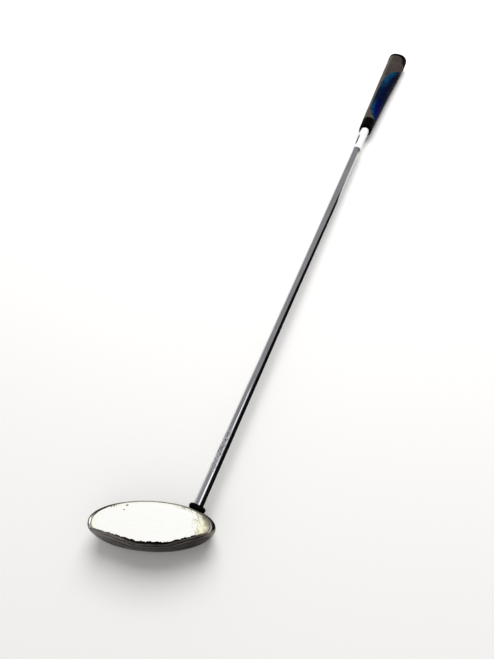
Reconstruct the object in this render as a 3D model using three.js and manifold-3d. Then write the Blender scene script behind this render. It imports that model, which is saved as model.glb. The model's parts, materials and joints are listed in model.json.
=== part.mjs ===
// Putter: a cast head with a white enamel face, a tapered steel shaft and a pistol grip.
// It lies on its back, face up, as it is laid on a table. Millimetres, +Z up, +Y runs up the shaft
// and the toe points to -X. The origin is at the centre of the footprint.
import * as THREE from 'three';
import { mergeVertices } from 'three/addons/utils/BufferGeometryUtils.js';
import Module from 'manifold-3d';

// Whole club: length from the sole to the butt along the shaft, and the lie and loft of the head
const clubLength = 914.4;
const lieDegrees = 71;
const loftDegrees = 4;

// Clearances: between touching pieces, and how far a cutter runs past what it cuts
const seatGap = 0.3;
const overrun = 6;

// Face: the almond outline of the enamel, half its length, and its height above and below centre
const faceHalfLength = 49.8;
const faceCrown = 17.1;
const faceSole = 15.3;
// The lower edge of the face is three straight lines between these places along the half length
const facetVertexShares = [-0.955, -0.16, 0.31, 0.965];
// Below the centre line the toe end is fuller than an ellipse, whose exponent is 2, and the heel leaner
const toeExponent = 2.35;
const heelExponent = 1.9;

// Head body: depth from the middle of the face to the back, and how far the metal grows past the
// face at its girth
const headDepth = 32;
const landWidth = 0.6;
const rimDepth = 4.5;
const rimEnds = 4.5;
const rimCrown = 1.1;
const rimSole = 2.2;
// Behind the girth the crown and sole swell, then the form tucks in to the flat back
const crownSwell = 0.3;
const soleSwell = 3.4;
const backTuckEnds = 8;
const backTuckCrown = 5;
const backTuckSole = 5;

// Facets under the lower edge: a narrow chamfer, then a broad plane that runs out at the girth
const chamferDepth = 1.2;
const chamferDegrees = 50;
const facetRunout = 16;

// Enamel: the recess cast into the face, and the layer that fills it
const recessDepth = 1.2;
const enamelThickness = recessDepth - seatGap;

// Hosel: how far the shaft stands inboard of the heel end of the face, how deep its axis lies behind it,
// how far the seat is spot-faced into the crown, the boss under it and the bore
const shaftInboard = 14.4;
const shaftTowardHeel = faceHalfLength - shaftInboard;
const axisBehindFace = 9;
const seatSink = 0.5;
const bossDiameter = 15;
const boreDepth = 24;

// Ferrule: a fat rubber ring
const ferruleDiameter = 15.4;
const ferruleThickness = 4.6;
const ferruleEdgeRadius = 2.1;

// Shaft: parallel tip, then a straight taper to the butt
const tipDiameter = 9;
const buttDiameter = 14.7;
const parallelLength = 240;
const shaftWall = 0.6;
const plugLength = 10;

// Label: a paper strip wound round the shaft below the grip, its free end lapping its start
const labelLength = 55.5;
const labelThickness = 0.3;
const labelWrapDegrees = 405;
const labelEndDegrees = 165;

// Grip: overall length, mouth, and the butt section: the thumb flat, the palm side and half its width
const gripLength = 260.5;
const mouthDiameter = 20;
const buttFlat = 14.2;
const buttPalm = 19;
const buttHalfWidth = 13.2;
const mouthEdgeRadius = 1.1;
const mouthEdgeLength = 5;
const tapeThickness = 0.3;

// How the section grows along the grip, as shares from the mouth to the butt
const gripGrowthShares = [
  { along: 0, flat: 0, palm: 0, width: 0 },
  { along: 0.15, flat: 0.22, palm: 0.14, width: 0.15 },
  { along: 0.32, flat: 0.34, palm: 0.32, width: 0.34 },
  { along: 0.48, flat: 0.55, palm: 0.5, width: 0.55 },
  { along: 0.63, flat: 0.72, palm: 0.72, width: 0.74 },
  { along: 0.8, flat: 0.86, palm: 0.97, width: 0.92 },
  { along: 1, flat: 1, palm: 1, width: 1 },
];
// Section exponents: 2 is an ellipse, more is squarer. The thumb side squares off past the mouth
const roundExponent = 2;
const thumbExponent = 2.8;
const palmExponent = 2.2;
const squaringShare = 0.3;

// Collar at the mouth, inlaid panel, and end cap
const collarLength = 25;
const panelThickness = 1.4;
const panelFromMouth = collarLength + seatGap;
const panelFromButt = 51;
// Left edge of the panel in plan: places along its length, and offsets as shares of the mouth radius.
// It runs from the collar to beyond the palm side, so the panel's own end is cut by the section
const panelEdgeShares = [
  { along: 0, across: 0.8 },
  { along: 0.019, across: 0.5 },
  { along: 0.047, across: 0.12 },
  { along: 0.104, across: -0.32 },
  { along: 0.197, across: -0.64 },
  { along: 0.374, across: -0.66 },
  { along: 0.551, across: -0.62 },
  { along: 0.655, across: -0.52 },
  { along: 0.748, across: -0.27 },
  { along: 0.823, across: 0.18 },
  { along: 0.869, across: 0.72 },
  { along: 0.917, across: 1.35 },
  { along: 1, across: 2.15 },
];
const capRim = 13;
const capStrapLength = 30;
const capStrapInset = 4;
const capProud = 0.6;
const capRimProud = 0.5;
const capEdgeRadius = 8;
const capWall = 4;
const ventDiameter = 3;

// Fineness of the facets
const crownSteps = 36;
const facetSteps = [3, 11, 8, 11, 3];
const rimSteps = 5;
const backSteps = 9;
const roundSteps = 40;
const gripRoundSteps = 44;
const gripLengthSteps = 26;
const edgeSteps = 5;
const labelStepDegrees = 9;

const lie = THREE.MathUtils.degToRad(lieDegrees);
const loft = THREE.MathUtils.degToRad(loftDegrees);
const wasm = await Module();
wasm.setup();

// Closed mesh to solid, for joins and cuts
function solid(geometry) {
  const bare = geometry.clone();
  bare.deleteAttribute('normal');
  bare.deleteAttribute('uv');
  const merged = mergeVertices(bare.index ? bare.toNonIndexed() : bare);
  const vertProperties = new Float32Array(merged.attributes.position.array);
  const triVerts = new Uint32Array(merged.index.array);
  return new wasm.Manifold(new wasm.Mesh({ numProp: 3, vertProperties, triVerts }));
}

// Solid back to a geometry
function geometryOf(body) {
  const mesh = body.getMesh();
  const geometry = new THREE.BufferGeometry();
  geometry.setAttribute('position', new THREE.BufferAttribute(new Float32Array(mesh.vertProperties), 3));
  geometry.setIndex(new THREE.BufferAttribute(new Uint32Array(mesh.triVerts), 1));
  geometry.computeVertexNormals();
  return geometry;
}

// Closed skin through rings of equal count, flat at both ends. The rings turn so that faces point out
function skinned(rings) {
  const count = rings[0].length;
  const positions = [];
  const index = [];
  rings.forEach((ring) => ring.forEach((point) => positions.push(point.x, point.y, point.z)));
  for (let row = 0; row + 1 < rings.length; row += 1) {
    for (let i = 0; i < count; i += 1) {
      const a = row * count + i;
      const b = row * count + ((i + 1) % count);
      index.push(a, b, b + count);
      index.push(a, b + count, a + count);
    }
  }
  [rings[0], rings[rings.length - 1]].forEach((ring, end) => {
    const centre = ring.reduce((sum, point) => sum.add(point), new THREE.Vector3()).divideScalar(count);
    const hub = positions.length / 3;
    const first = end === 0 ? 0 : (rings.length - 1) * count;
    positions.push(centre.x, centre.y, centre.z);
    for (let i = 0; i < count; i += 1) {
      const here = first + i;
      const next = first + ((i + 1) % count);
      index.push(hub, end === 0 ? next : here, end === 0 ? here : next);
    }
  });
  const geometry = new THREE.BufferGeometry();
  geometry.setAttribute('position', new THREE.Float32BufferAttribute(positions, 3));
  geometry.setIndex(index);
  geometry.computeVertexNormals();
  return geometry;
}

// Profile of radius and height turned about +Y; it closes on itself or starts and ends on the axis
function turned(points, steps = roundSteps) {
  return new THREE.LatheGeometry(points.map(([radius, height]) => new THREE.Vector2(radius, height)), steps);
}

// Plain disc or rod about +Y between two heights
function rod(radius, bottom, top) {
  return turned([[0, bottom], [radius, bottom], [radius, top], [0, top]]);
}

// Quarter round in a profile, from one direction to another about a centre
function quarter(centreRadius, centreHeight, radius, fromDegrees) {
  const points = [];
  for (let i = 0; i <= edgeSteps; i += 1) {
    const angle = THREE.MathUtils.degToRad(fromDegrees + (90 * i) / edgeSteps);
    points.push([centreRadius + radius * Math.cos(angle), centreHeight + radius * Math.sin(angle)]);
  }
  return points;
}

// Plan shape raised along Z through the whole thickness of the grip
function planPrism(shape, halfHeight) {
  const prism = new THREE.ExtrudeGeometry(shape, { depth: 2 * halfHeight, bevelEnabled: false });
  prism.translate(0, 0, -halfHeight);
  return prism;
}

// Height of the face over the flat back: the loft leaves the sole side thicker
function faceHeight(y) {
  return headDepth - y * Math.tan(loft);
}

// Point of the lower half of a plan at a share of its half length
function soleEdge(share, half, sole) {
  const exponent = share < 0 ? toeExponent : heelExponent;
  const drop = Math.max(0, 1 - Math.abs(share) ** exponent) ** (1 / exponent);
  return new THREE.Vector3(share * half, -sole * drop, 0);
}

// Plan of the head at one growth past the face
function headPlan(growEnds, growCrown, growSole) {
  const half = faceHalfLength + growEnds;
  const crown = faceCrown + growCrown;
  const sole = faceSole + growSole;
  const ring = [];
  for (let i = 0; i < crownSteps; i += 1) {
    const angle = (Math.PI * i) / crownSteps;
    ring.push(new THREE.Vector3(half * Math.cos(angle), crown * Math.sin(angle), 0));
  }
  const stops = [-Math.PI, ...facetVertexShares.map((share) => -Math.acos(share)), 0];
  facetSteps.forEach((steps, k) => {
    for (let i = 0; i < steps; i += 1) {
      ring.push(soleEdge(Math.cos(THREE.MathUtils.lerp(stops[k], stops[k + 1], i / steps)), half, sole));
    }
  });
  return ring;
}

// A plan set at one depth behind the lofted face
function sunk(ring, depth) {
  ring.forEach((point) => point.setZ(faceHeight(point.y) * (1 - depth / headDepth)));
  return ring;
}

// Straight lines of the lower edge: a point on each, its direction and the way out of the face
const lowerVertices = facetVertexShares.map((share) => soleEdge(share, faceHalfLength, faceSole));
const lowerLines = lowerVertices.slice(1).map((to, k) => {
  const from = lowerVertices[k];
  const along = to.clone().sub(from).normalize();
  return { from, along, out: new THREE.Vector3(along.y, -along.x, 0) };
});

// Outline of the enamel and its recess: the plan drawn in to the three lines
function faceOutline(grow, depth) {
  const ring = headPlan(grow, grow, grow);
  lowerLines.forEach(({ from, out }) => ring.forEach((point) => {
    const past = point.clone().sub(from).dot(out) - grow;
    if (past > 0) point.addScaledVector(out, -past);
  }));
  return sunk(ring, depth);
}

// Cutter for a plane under one of the lines, between two depths and the ways out that it has there
function facetCutter({ from, along, out }, startDepth, startOut, endDepth, endOut) {
  const size = 2 * (faceHalfLength + rimEnds + overrun);
  const placed = (depth, way) => {
    const point = from.clone().addScaledVector(out, way);
    return sunk([point.setZ(0)], depth)[0];
  };
  const start = placed(startDepth, startOut);
  const down = placed(endDepth, endOut).sub(start);
  const run = along.clone().setZ(-along.y * Math.tan(loft)).normalize();
  down.addScaledVector(run, -down.dot(run)).normalize();
  const normal = new THREE.Vector3().crossVectors(down, run);
  if (normal.dot(out) < 0) normal.negate();
  const box = new THREE.BoxGeometry(size, size, size);
  const middle = start.addScaledVector(normal, size / 2);
  const basis = new THREE.Matrix4().makeBasis(run, new THREE.Vector3().crossVectors(normal, run), normal);
  return solid(box.applyMatrix4(basis.setPosition(middle)));
}

// Planes cut under the lower edge of the face: a chamfer, then a facet that just touches the girth
function facetCutters() {
  const chamferOut = landWidth + chamferDepth * Math.tan(THREE.MathUtils.degToRad(chamferDegrees));
  const girth = ringGrowth(facetRunout);
  const plan = headPlan(girth.ends, girth.crown, girth.sole);
  return lowerLines.flatMap((line) => {
    const reach = Math.max(...plan.map((point) => point.clone().sub(line.from).dot(line.out)));
    return [
      facetCutter(line, 0, landWidth, chamferDepth, chamferOut),
      facetCutter(line, chamferDepth, chamferOut, facetRunout, reach),
    ];
  });
}

// How far the metal grows past the face at a depth: a rounded rim, the swollen girth, then the tuck
function ringGrowth(depth) {
  const rim = Math.min(1, depth / rimDepth);
  const grow = Math.sqrt(1 - (1 - rim) ** 2);
  const behind = Math.max(0, (depth - rimDepth) / (headDepth - rimDepth));
  const swell = 2 * behind * Math.sqrt(1 - behind ** 2);
  const tuck = 1 - Math.sqrt(1 - behind ** 2);
  return {
    ends: THREE.MathUtils.lerp(landWidth, rimEnds, grow) - backTuckEnds * tuck,
    crown: THREE.MathUtils.lerp(landWidth, rimCrown, grow) + crownSwell * swell - backTuckCrown * tuck,
    sole: THREE.MathUtils.lerp(landWidth, rimSole, grow) + soleSwell * swell - backTuckSole * tuck,
  };
}

// Rings of the head from the back to the face, closer together where the form turns fast
function headRings() {
  const depths = [];
  for (let i = 0; i <= rimSteps; i += 1) {
    depths.push(rimDepth * (1 - Math.cos((Math.PI / 2) * (i / rimSteps))));
  }
  for (let i = 1; i <= backSteps; i += 1) {
    depths.push(rimDepth + (headDepth - rimDepth) * Math.sin((Math.PI / 2) * (i / backSteps)));
  }
  return depths.reverse().map((depth) => {
    const growth = ringGrowth(depth);
    return sunk(headPlan(growth.ends, growth.crown, growth.sole), depth);
  });
}

// Seat of the ferrule on the crown, in the head's frame: x toe to heel, y sole to crown, z back to face
const girthHalf = faceHalfLength + rimEnds;
const girthCrown = faceCrown + rimCrown;
const girthSole = faceSole + rimSole + soleSwell / 2;
const crownAtShaft = girthCrown * Math.sqrt(1 - (shaftTowardHeel / girthHalf) ** 2);
const seat = new THREE.Vector3(
  shaftTowardHeel, crownAtShaft - seatSink, faceHeight(crownAtShaft) - axisBehindFace);

// Places along the shaft, measured up from the seat
const soleToSeat = (seat.y + girthSole) / Math.sin(lie);
const ferruleTop = seatGap + ferruleThickness;
const gripEnd = clubLength - soleToSeat;
const gripMouth = gripEnd - gripLength;
const shaftBottom = seatGap - boreDepth;
const shaftTop = gripEnd - capWall - seatGap;
const taperStart = ferruleTop + parallelLength;
const tapeStart = gripMouth + collarLength;

// Outer radius of the shaft at a place along it
function shaftRadius(along) {
  const share = THREE.MathUtils.clamp((along - taperStart) / (shaftTop - taperStart), 0, 1);
  return THREE.MathUtils.lerp(tipDiameter, buttDiameter, share) / 2;
}

// Size of the grip section at a share of its length, on a smooth curve through the growth table
const growthCurves = Object.fromEntries(['flat', 'palm', 'width'].map((key) => [key,
  new THREE.SplineCurve(gripGrowthShares.map((row) => new THREE.Vector2(row.along, row[key])))]));
function growthAt(key, share) {
  const rows = gripGrowthShares.length - 1;
  const found = gripGrowthShares.findIndex((row) => row.along >= share);
  const cell = Math.max(1, found < 0 ? rows : found);
  const low = gripGrowthShares[cell - 1].along;
  const high = gripGrowthShares[cell].along;
  return growthCurves[key].getPoint((cell - 1 + (share - low) / (high - low)) / rows).y;
}

// One ring of the grip, drawn in by an inset; proud adds to the palm side and the rim of the cap
function gripRing(share, inset, proudPalm, proudRim, along) {
  const mouth = mouthDiameter / 2;
  const sized = (key, butt) => THREE.MathUtils.lerp(mouth, butt, growthAt(key, share)) - inset;
  const flat = sized('flat', buttFlat) + proudRim;
  const palm = sized('palm', buttPalm) + proudPalm;
  const width = sized('width', buttHalfWidth) + proudRim;
  const squared = THREE.MathUtils.smoothstep(share, 0, squaringShare);
  const ring = [];
  for (let i = 0; i < gripRoundSteps; i += 1) {
    const angle = (2 * Math.PI * i) / gripRoundSteps;
    const thumbSide = Math.cos(angle) < 0;
    const exponent = THREE.MathUtils.lerp(roundExponent, thumbSide ? thumbExponent : palmExponent, squared);
    const bend = (value) => Math.sign(value) * Math.abs(value) ** (2 / exponent);
    const reach = thumbSide ? flat : palm;
    ring.push(new THREE.Vector3(reach * bend(Math.cos(angle)), along, -width * bend(Math.sin(angle))));
  }
  return ring;
}

// Grip body between two places, with rounded edges where asked. The edge at its start may be drawn out
function gripLoft({ inset = 0, proudPalm = 0, proudRim = 0, from = gripMouth, to = gripEnd,
  startRound = 0, startRun = 0, endRound = 0 }) {
  const rings = [];
  const shareOf = (along) => THREE.MathUtils.clamp((along - gripMouth) / gripLength, 0, 1);
  const ringAt = (along, cut) => rings.push(
    gripRing(shareOf(along), inset + cut, proudPalm, proudRim, along));
  if (startRound > 0) {
    for (let i = 0; i < edgeSteps; i += 1) {
      const angle = (Math.PI / 2) * (i / edgeSteps);
      ringAt(from + startRun * (1 - Math.cos(angle)), startRound * (1 - Math.sin(angle)));
    }
  }
  const first = from + startRun;
  const last = to - endRound;
  const steps = Math.max(2, Math.round((gripLengthSteps * (last - first)) / gripLength));
  for (let i = 0; i <= steps; i += 1) {
    ringAt(THREE.MathUtils.lerp(first, last, i / steps), 0);
  }
  if (endRound > 0) {
    for (let i = 1; i <= edgeSteps; i += 1) {
      const angle = (Math.PI / 2) * (i / edgeSteps);
      ringAt(last + endRound * Math.sin(angle), endRound * (1 - Math.cos(angle)));
    }
  }
  return skinned(rings);
}

// Zone of the inlaid panel in plan: everything to the palm side of its curved edge
function panelZone(shrink) {
  const mouth = mouthDiameter / 2;
  const start = gripMouth + panelFromMouth;
  const length = gripEnd - panelFromButt - start;
  const edge = new THREE.SplineCurve(panelEdgeShares.map((row) => new THREE.Vector2(
    row.across * mouth, start + row.along * length)));
  const points = edge.getPoints(panelEdgeShares.length * 3);
  const moved = points.map((point, i) => {
    const before = points[Math.max(0, i - 1)];
    const after = points[Math.min(points.length - 1, i + 1)];
    const along = after.clone().sub(before).normalize();
    return new THREE.Vector2(point.x + along.y * shrink, point.y - along.x * shrink);
  });
  const far = buttPalm + overrun;
  const shape = new THREE.Shape(moved);
  shape.lineTo(far, moved[moved.length - 1].y);
  shape.lineTo(far, moved[0].y);
  shape.closePath();
  return planPrism(shape, buttHalfWidth + overrun);
}

// Zone of the end cap in plan: a rim across the butt that runs down the palm side as a strap
function capZone(shift) {
  const left = -buttFlat - overrun;
  const right = buttPalm + capProud + overrun;
  const inner = buttPalm - capStrapInset + shift;
  const rim = gripEnd - capRim + shift;
  const strap = gripEnd - capStrapLength + shift;
  const shape = new THREE.Shape();
  shape.moveTo(left, rim);
  shape.lineTo(-shift, rim);
  shape.quadraticCurveTo(inner, rim, inner, strap);
  shape.lineTo(right, strap);
  shape.lineTo(right, gripEnd + overrun);
  shape.lineTo(left, gripEnd + overrun);
  shape.closePath();
  return planPrism(shape, buttHalfWidth + overrun);
}

// Bore that follows the taper of the shaft with a clearance
function shaftBore(from, to, clearance) {
  const bottom = shaftRadius(from) + clearance;
  const top = shaftRadius(to) + clearance;
  return turned([[0, from], [bottom, from], [top, to], [0, to]]);
}

// Where the shaft comes to rest: the butt touches the table while the head lies on its flat back
function restingSlope() {
  const angles = [];
  for (let i = 0; i <= gripLengthSteps; i += 1) {
    const share = i / gripLengthSteps;
    const along = gripMouth + share * (gripLength - capEdgeRadius);
    const ring = gripRing(share, 0, 0, share * gripLength > gripLength - capRim ? capRimProud : 0, along);
    const below = Math.max(...ring.map((point) => -point.z));
    angles.push(Math.asin(seat.z / Math.hypot(along, below)) - Math.atan2(below, along));
  }
  return Math.min(...angles);
}

// Frames: the head turned by the lie angle, the shaft laid along +Y and dipped to the table
const headFrame = new THREE.Group();
headFrame.rotation.z = Math.PI / 2 - lie;
headFrame.updateMatrixWorld(true);
const shaftFrame = new THREE.Group();
shaftFrame.position.copy(seat).applyMatrix4(headFrame.matrixWorld);
shaftFrame.rotation.x = -restingSlope();
shaftFrame.updateMatrixWorld(true);
const shaftToHead = headFrame.matrixWorld.clone().invert().multiply(shaftFrame.matrixWorld);
const inHead = (geometry) => solid(geometry.clone().applyMatrix4(shaftToHead));

// Cast body: the skin of its rings less the facets, with the hosel boss, less the spot face, the
// bore and the recess of the face
function headBody() {
  const boss = inHead(rod(bossDiameter / 2, -boreDepth / 2, 0));
  const spotFace = inHead(rod(ferruleDiameter / 2 + seatGap, 0, ferruleThickness));
  const bore = inHead(rod(tipDiameter / 2 + seatGap, -boreDepth, overrun));
  const recess = solid(skinned([faceOutline(0, recessDepth), faceOutline(0, -overrun)]));
  const body = facetCutters().reduce((cut, cutter) => cut.subtract(cutter), solid(skinned(headRings())));
  return geometryOf(body.add(boss).subtract(spotFace).subtract(bore).subtract(recess));
}

// Enamel layer that fills the recess flush with the land
function faceEnamel() {
  return skinned([faceOutline(-seatGap, enamelThickness), faceOutline(-seatGap, 0)]);
}

// Ferrule ring with rounded outer edges
function ferrule() {
  const inner = tipDiameter / 2 + seatGap;
  const outer = ferruleDiameter / 2 - ferruleEdgeRadius;
  return turned([
    [inner, seatGap],
    ...quarter(outer, seatGap + ferruleEdgeRadius, ferruleEdgeRadius, -90),
    ...quarter(outer, ferruleTop - ferruleEdgeRadius, ferruleEdgeRadius, 0),
    [inner, ferruleTop],
    [inner, seatGap],
  ]);
}

// Tube of the shaft, open at both ends
function shaft() {
  const tip = tipDiameter / 2;
  const butt = buttDiameter / 2;
  return turned([
    [tip - shaftWall, shaftBottom],
    [tip, shaftBottom],
    [tip, taperStart],
    [butt, shaftTop],
    [butt - shaftWall, shaftTop],
    [tip - shaftWall, taperStart],
    [tip - shaftWall, shaftBottom],
  ]);
}

// Plug pressed into the tip of the tube
function shaftTipPlug() {
  return rod(tipDiameter / 2 - shaftWall - seatGap, shaftBottom, shaftBottom + plugLength);
}

// Paper strip wound once round the shaft and lapped over its own start
function shaftLabel() {
  const top = gripMouth - seatGap;
  const start = shaftRadius(top) + seatGap;
  const pitch = labelThickness + seatGap;
  const steps = Math.round(labelWrapDegrees / labelStepDegrees);
  const wound = (i, lift) => {
    const turn = (labelWrapDegrees * i) / steps;
    const angle = THREE.MathUtils.degToRad(labelEndDegrees - labelWrapDegrees + turn);
    const radius = start + (pitch * turn) / 360 + lift;
    return new THREE.Vector2(radius * Math.cos(angle), radius * Math.sin(angle));
  };
  const outline = [];
  for (let i = 0; i <= steps; i += 1) outline.push(wound(i, labelThickness));
  for (let i = steps; i >= 0; i -= 1) outline.push(wound(i, 0));
  const strip = new THREE.ExtrudeGeometry(new THREE.Shape(outline), {
    depth: labelLength, bevelEnabled: false });
  strip.rotateX(-Math.PI / 2);
  strip.translate(0, top - labelLength, 0);
  return strip;
}

// Double-sided tape between the shaft and the grip
function gripTape() {
  const inner = (along) => shaftRadius(along) + seatGap;
  return turned([
    [inner(tapeStart), tapeStart],
    [inner(tapeStart) + tapeThickness, tapeStart],
    [inner(shaftTop) + tapeThickness, shaftTop],
    [inner(shaftTop), shaftTop],
    [inner(tapeStart), tapeStart],
  ]);
}

// Rubber sleeve: the grip body between collar and cap, less the pocket of the panel and the bore
function gripSleeve() {
  const from = gripMouth + collarLength + seatGap;
  const body = solid(gripLoft({ from, to: gripEnd - seatGap }));
  const core = solid(gripLoft({ inset: panelThickness + seatGap, from: gripMouth, to: gripEnd }));
  const pocket = solid(panelZone(0)).subtract(core);
  const bore = solid(shaftBore(gripMouth, gripEnd, tapeThickness + 2 * seatGap));
  return geometryOf(body.subtract(pocket).subtract(solid(capZone(-seatGap))).subtract(bore));
}

// Inlaid panel: the skin of the grip inside its zone
function gripPanel() {
  const skin = solid(gripLoft({})).subtract(solid(gripLoft({ inset: panelThickness })));
  return geometryOf(skin.intersect(solid(panelZone(seatGap))));
}

// Collar at the mouth, round and tight to the shaft
function gripCollar() {
  const to = gripMouth + collarLength;
  const body = solid(gripLoft({ to, startRound: mouthEdgeRadius, startRun: mouthEdgeLength }));
  return geometryOf(body.subtract(solid(shaftBore(gripMouth - overrun, to + overrun, seatGap))));
}

// End cap: rim, strap down the palm side, blind bore for the butt of the shaft and a vent hole
function gripEndCap() {
  const from = gripEnd - capStrapLength;
  const rimmed = solid(gripLoft({ from, proudPalm: capProud, proudRim: capRimProud,
    endRound: capEdgeRadius }));
  const bore = solid(shaftBore(from - overrun, gripEnd - capWall, tapeThickness + 2 * seatGap));
  const vent = solid(rod(ventDiameter / 2, from, gripEnd + overrun));
  return geometryOf(rimmed.intersect(solid(capZone(0))).subtract(bore).subtract(vent));
}

function material(color, roughness, metalness) {
  return new THREE.MeshStandardMaterial({ color, roughness, metalness });
}

const castMetal = material(0x8c8884, 0.42, 0.9);
const whiteEnamel = material(0xf4f2ea, 0.3, 0);
const blackRubber = material(0x141414, 0.7, 0);
const chrome = material(0xb9bac2, 0.12, 1);
const plugPlastic = material(0x1a1a1a, 0.6, 0);
const paper = material(0xf2f2f0, 0.6, 0);
const tape = material(0xd9cfae, 0.8, 0);
const taupeRubber = material(0x6f665e, 0.75, 0);
const blueRubber = material(0x14307a, 0.6, 0);

const headPieces = [
  ['head_body', headBody(), castMetal],
  ['face_enamel', faceEnamel(), whiteEnamel],
];
const shaftPieces = [
  ['ferrule', ferrule(), blackRubber],
  ['shaft', shaft(), chrome],
  ['shaft_tip_plug', shaftTipPlug(), plugPlastic],
  ['shaft_label', shaftLabel(), paper],
  ['grip_tape', gripTape(), tape],
  ['grip_sleeve', gripSleeve(), taupeRubber],
  ['grip_panel', gripPanel(), blueRubber],
  ['grip_collar', gripCollar(), blackRubber],
  ['grip_end_cap', gripEndCap(), blackRubber],
];
const place = (frame, pieces) => pieces.forEach(([name, geometry, finish]) => {
  const mesh = new THREE.Mesh(geometry, finish);
  mesh.name = name;
  frame.add(mesh);
});
place(headFrame, headPieces);
place(shaftFrame, shaftPieces);

// The club stands on Z = 0 with the centre of its footprint at the origin
const putter = new THREE.Group();
putter.add(headFrame, shaftFrame);
const footprint = new THREE.Box3().setFromObject(putter, true);
const centre = footprint.getCenter(new THREE.Vector3());
putter.position.set(-centre.x, -centre.y, -footprint.min.z);
putter.updateMatrixWorld(true);

export default putter;
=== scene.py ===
# Putter: the looks of the cast head, the chromed shaft and the pistol grip. Metres, +Z up.
import json
import math

import bmesh
import bpy
from mathutils import Matrix, Vector, noise

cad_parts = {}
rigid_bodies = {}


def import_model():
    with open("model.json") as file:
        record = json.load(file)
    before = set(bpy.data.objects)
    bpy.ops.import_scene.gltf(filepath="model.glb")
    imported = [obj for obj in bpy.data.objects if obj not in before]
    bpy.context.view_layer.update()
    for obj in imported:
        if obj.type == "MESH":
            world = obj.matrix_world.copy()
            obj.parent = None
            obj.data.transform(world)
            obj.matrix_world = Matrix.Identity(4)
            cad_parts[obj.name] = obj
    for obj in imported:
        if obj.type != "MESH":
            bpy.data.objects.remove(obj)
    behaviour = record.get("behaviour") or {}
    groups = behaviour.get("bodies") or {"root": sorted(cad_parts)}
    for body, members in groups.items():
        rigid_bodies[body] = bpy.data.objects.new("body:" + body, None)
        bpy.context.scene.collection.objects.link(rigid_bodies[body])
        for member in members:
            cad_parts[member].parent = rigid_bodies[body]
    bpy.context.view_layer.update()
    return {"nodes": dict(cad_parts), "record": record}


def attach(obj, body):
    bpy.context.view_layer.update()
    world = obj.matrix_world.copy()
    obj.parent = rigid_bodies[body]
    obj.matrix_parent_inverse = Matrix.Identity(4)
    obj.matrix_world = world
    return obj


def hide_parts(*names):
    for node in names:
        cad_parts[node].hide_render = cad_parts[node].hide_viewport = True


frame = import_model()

MM = 0.001

# Camera: the photograph's viewpoint, with the focal length and the long side of the picture in pixels
EYE = (0.09109, -0.44314, 0.40126)
EYE_TURN_DEGREES = (31.928, 0.253, 22.540)
FOCAL_PIXELS = 400
LONG_SIDE_PIXELS = 659
SENSOR_MM = 36
NEAREST = 10 * MM

# Studio in metres: floor, backdrop, room light, key light, and the cards that only show in reflections
FLOOR_HALF = 6
FLOOR_TONE = (0.955, 0.95, 0.935)
FLOOR_FADE_FROM = 0.95
FLOOR_FADE_TO = 1.7
BACKDROP = (0.95, 0.95, 0.945)
ROOM_LIGHT = (0.43, 0.425, 0.42)
KEY_PLACE = (-0.22, 0.85, 1.5)
KEY_SIZE = 1.25
KEY_WATTS = 31
CARD_WHITE = (1, 1, 0.98)
CARD_BLACK = (0.008, 0.008, 0.008)
BRIGHT_CORNERS = ((0.04, -0.62), (0.5, -0.62), (0.1, 0.06), (0.34, 0.02))
BRIGHT_HEIGHT = 0.8
BRIGHT_GLOW = 2.2
TOE_CARD_ACROSS = -0.55
TOE_CARD_START = -0.85
TOE_CARD_END = -0.43
TOE_CARD_HEIGHT = 0.5
TOE_CARD_GLOW = 4
DARK_ACROSS = 0.53
DARK_HEIGHT = 0.64
DARK_START = -0.43
DARK_FULL_TO = 0.4
DARK_END = 0.78
DARK_END_HEIGHT = 0.02
DARK_FLOOR_LIFT = 1.2 * MM
DARK_FLOOR_START = -0.41
DARK_FLOOR_END = 0.03

# Head: lie and loft, and the almond of the face
LIE = math.radians(71)
LOFT = math.radians(4)
HEAD_GRAIN_TURN = (0.0, 0.0, LIE - math.pi / 2)
SEAT_GAP = 0.3 * MM
FACE_HALF = 49.8 * MM
FACE_CROWN = 17.08 * MM
FACE_SOLE = 15.3 * MM
FACET_VERTEX_SHARES = (-0.955, -0.16, 0.31, 0.965)
TOE_EXPONENT = 2.35
HEEL_EXPONENT = 1.9
# Head body behind the face
HEAD_DEPTH = 32 * MM
LAND = 0.6 * MM
RIM_DEPTH = 4.5 * MM
RIM_ENDS = 4.47 * MM
RIM_CROWN = 1.1 * MM
RIM_SOLE = 2.2 * MM
CROWN_SWELL = 0.3 * MM
SOLE_SWELL = 3.37 * MM
TUCK_ENDS = 8 * MM
TUCK_CROWN = 5 * MM
TUCK_SOLE = 5 * MM
CHAMFER_DEPTH = 1.2 * MM
CHAMFER_ANGLE = math.radians(50)
FACET_RUNOUT = 16 * MM
RECESS = 1.2 * MM
CAST_EDGE = 0.22 * MM
# Enamel: its gap, its rounding, and the chips of its three straight edges along the sole, which are worn
# back in broad and fine waves, fading toward the toe and the heel
ENAMEL_GAP = 0.06 * MM
ENAMEL_EDGE = 0.18 * MM
SHORTEST_FACET = 5 * MM
MEAN_FACET = 30 * MM
CHIP_STEP = 0.7 * MM
CHIP_DEPTH = 0.2 * MM
CHIP_BACK = 1.7 * MM
CHIP_WAVE = 0.26 * MM
CHIP_WAVE_TURNS = (0.9 / MM, 2.3 / MM)
CHIP_FINE_SHARE = 0.7
CHIP_WAVE_ONSET = 3
CHIP_TOE_RUN = 38 * MM
CHIP_HEEL_RUN = 36 * MM
CHIP_SEED = 4
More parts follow.
